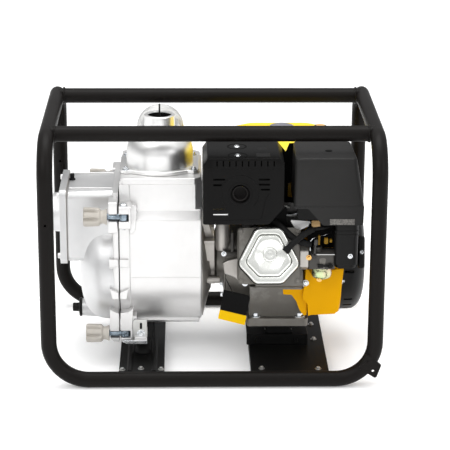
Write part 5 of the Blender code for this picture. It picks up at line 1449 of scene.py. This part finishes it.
    card = [(0.0260, 0.1660), (0.0810, 0.1520), (0.0730, 0.1080), (0.0175, 0.1220)]
    strip = [(0.0175, 0.1218), (0.0730, 0.1078), (0.0695, 0.0870), (0.0136, 0.1020)]
    piece("hang_tag_card", prism(rounded(card, 0.001, 3), -0.1160, -0.1150, "Y"), "card_black",
          bevel=0.0002)
    piece("hang_tag_strip", prism(rounded(strip, 0.001, 3), -0.1160, -0.1150, "Y"), "tag_yellow",
          bevel=0.0002)
    loop = tube(smooth_route([(0.044, -0.1165, 0.160), (0.040, -0.112, 0.168),
                              (0.034, -0.100, 0.176), (0.030, -0.096, 0.184)]), 0.0008, 10)
    piece("hang_tag_string", loop, "black_plastic")


def dress_hidden():
    """Materials for the solids inside the casings, which keep their own shapes."""
    looks = {"cast_raw": ("piston",), "black_plastic": ("mechanical_seal",),
             "iron": ("volute", "impeller", "crankshaft", "flywheel", "camshaft")}
    for look, names in looks.items():
        for name in names:
            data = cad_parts[name].data
            data.materials.clear()
            data.materials.append(material(look))


# ---- floor, light and camera -----------------------------------------------------------
def build_floor():
    floor = skin([[(-14, -14, z), (14, -14, z), (14, 14, z), (-14, 14, z)]
                  for z in (-0.020, -0.0002)])
    nodes = Nodes("floor_pale")
    tone = nodes.ramp(nodes.noise(3.0), [(0.3, (0.93, 0.93, 0.93)), (0.7, (0.96, 0.96, 0.96))])
    nodes.link(tone, nodes.shader.inputs["Base Color"])
    nodes.shader.inputs["Roughness"].default_value = 0.85
    nodes.shader.inputs["Emission Color"].default_value = (1, 1, 1, 1)
    nodes.shader.inputs["Emission Strength"].default_value = 0.16
    floor.materials.append(nodes.material)
    thing = bpy.data.objects.new("floor", floor)
    bpy.context.collection.objects.link(thing)


def area_light(name, at, target, size, watts):
    data = bpy.data.lights.new(name, "AREA")
    data.shape = "RECTANGLE"
    data.size, data.size_y = size
    data.energy = watts
    thing = bpy.data.objects.new(name, data)
    bpy.context.collection.objects.link(thing)
    thing.location = at
    way = Vector(target) - Vector(at)
    thing.rotation_euler = way.to_track_quat("-Z", "Y").to_euler()


def build_lights():
    world = bpy.data.worlds.new("studio")
    bpy.context.scene.world = world
    world.use_nodes = True
    tree = world.node_tree
    backdrop = tree.nodes["Background"]
    where = tree.nodes.new("ShaderNodeTexCoord")
    split = tree.nodes.new("ShaderNodeSeparateXYZ")
    tree.links.new(where.outputs["Generated"], split.inputs["Vector"])
    fade = tree.nodes.new("ShaderNodeValToRGB")
    band = fade.color_ramp
    band.elements[0].position, band.elements[0].color = 0.0, (0.60, 0.60, 0.61, 1)
    band.elements[1].position, band.elements[1].color = 0.85, (1.15, 1.15, 1.15, 1)
    tree.links.new(split.outputs["Z"], fade.inputs["Fac"])
    tree.links.new(fade.outputs["Color"], backdrop.inputs["Color"])
    behind = tree.nodes.new("ShaderNodeMapRange")
    for socket, number in (("From Min", 0.2), ("From Max", 0.9), ("To Min", 1.0),
                           ("To Max", 0.55)):
        behind.inputs[socket].default_value = number
    tree.links.new(split.outputs["Y"], behind.inputs["Value"])
    tree.links.new(behind.outputs["Result"], backdrop.inputs["Strength"])
    area_light("key", (-1.6, -2.4, 2.6), (-0.05, 0, 0.25), (1.8, 1.4), 34)
    area_light("fill", (2.2, -2.0, 1.5), (0.05, 0, 0.25), (1.4, 1.4), 16)
    area_light("top", (0, 0.1, 2.6), (0, 0, 0.2), (2.0, 1.6), 42)
    bpy.context.scene.view_settings.view_transform = "Standard"


def build_camera():
    """The photograph's own view: a long lens, slightly above, seen from -Y."""
    data = bpy.data.cameras.new("camera")
    data.sensor_width = 36.0
    data.lens = 147.05
    thing = bpy.data.objects.new("camera", data)
    bpy.context.collection.objects.link(thing)
    yaw, pitch, roll = 0.0229, 0.3167, 0.0049
    way = Vector((math.sin(yaw) * math.cos(pitch), math.cos(yaw) * math.cos(pitch),
                  -math.sin(pitch)))
    right = Vector((math.cos(yaw), -math.sin(yaw), 0))
    up = right.cross(way)
    tilted = right * math.cos(roll) + up * math.sin(roll)
    up = up * math.cos(roll) - right * math.sin(roll)
    turn = Matrix((tilted, up, -way)).transposed()
    thing.matrix_world = Matrix.Translation((-0.0548, -3.7023, 1.4833)) @ turn.to_4x4()
    bpy.context.scene.camera = thing


build_camera()
build_lights()
build_floor()
build_frame()
build_base()
build_casing()
build_cover()
build_suction()
build_discharge()
build_clamps()
build_crankcase()
build_top_end()
build_exhaust()
build_intake()
build_starter_side()
build_tank()
build_controls()
dress_hidden()
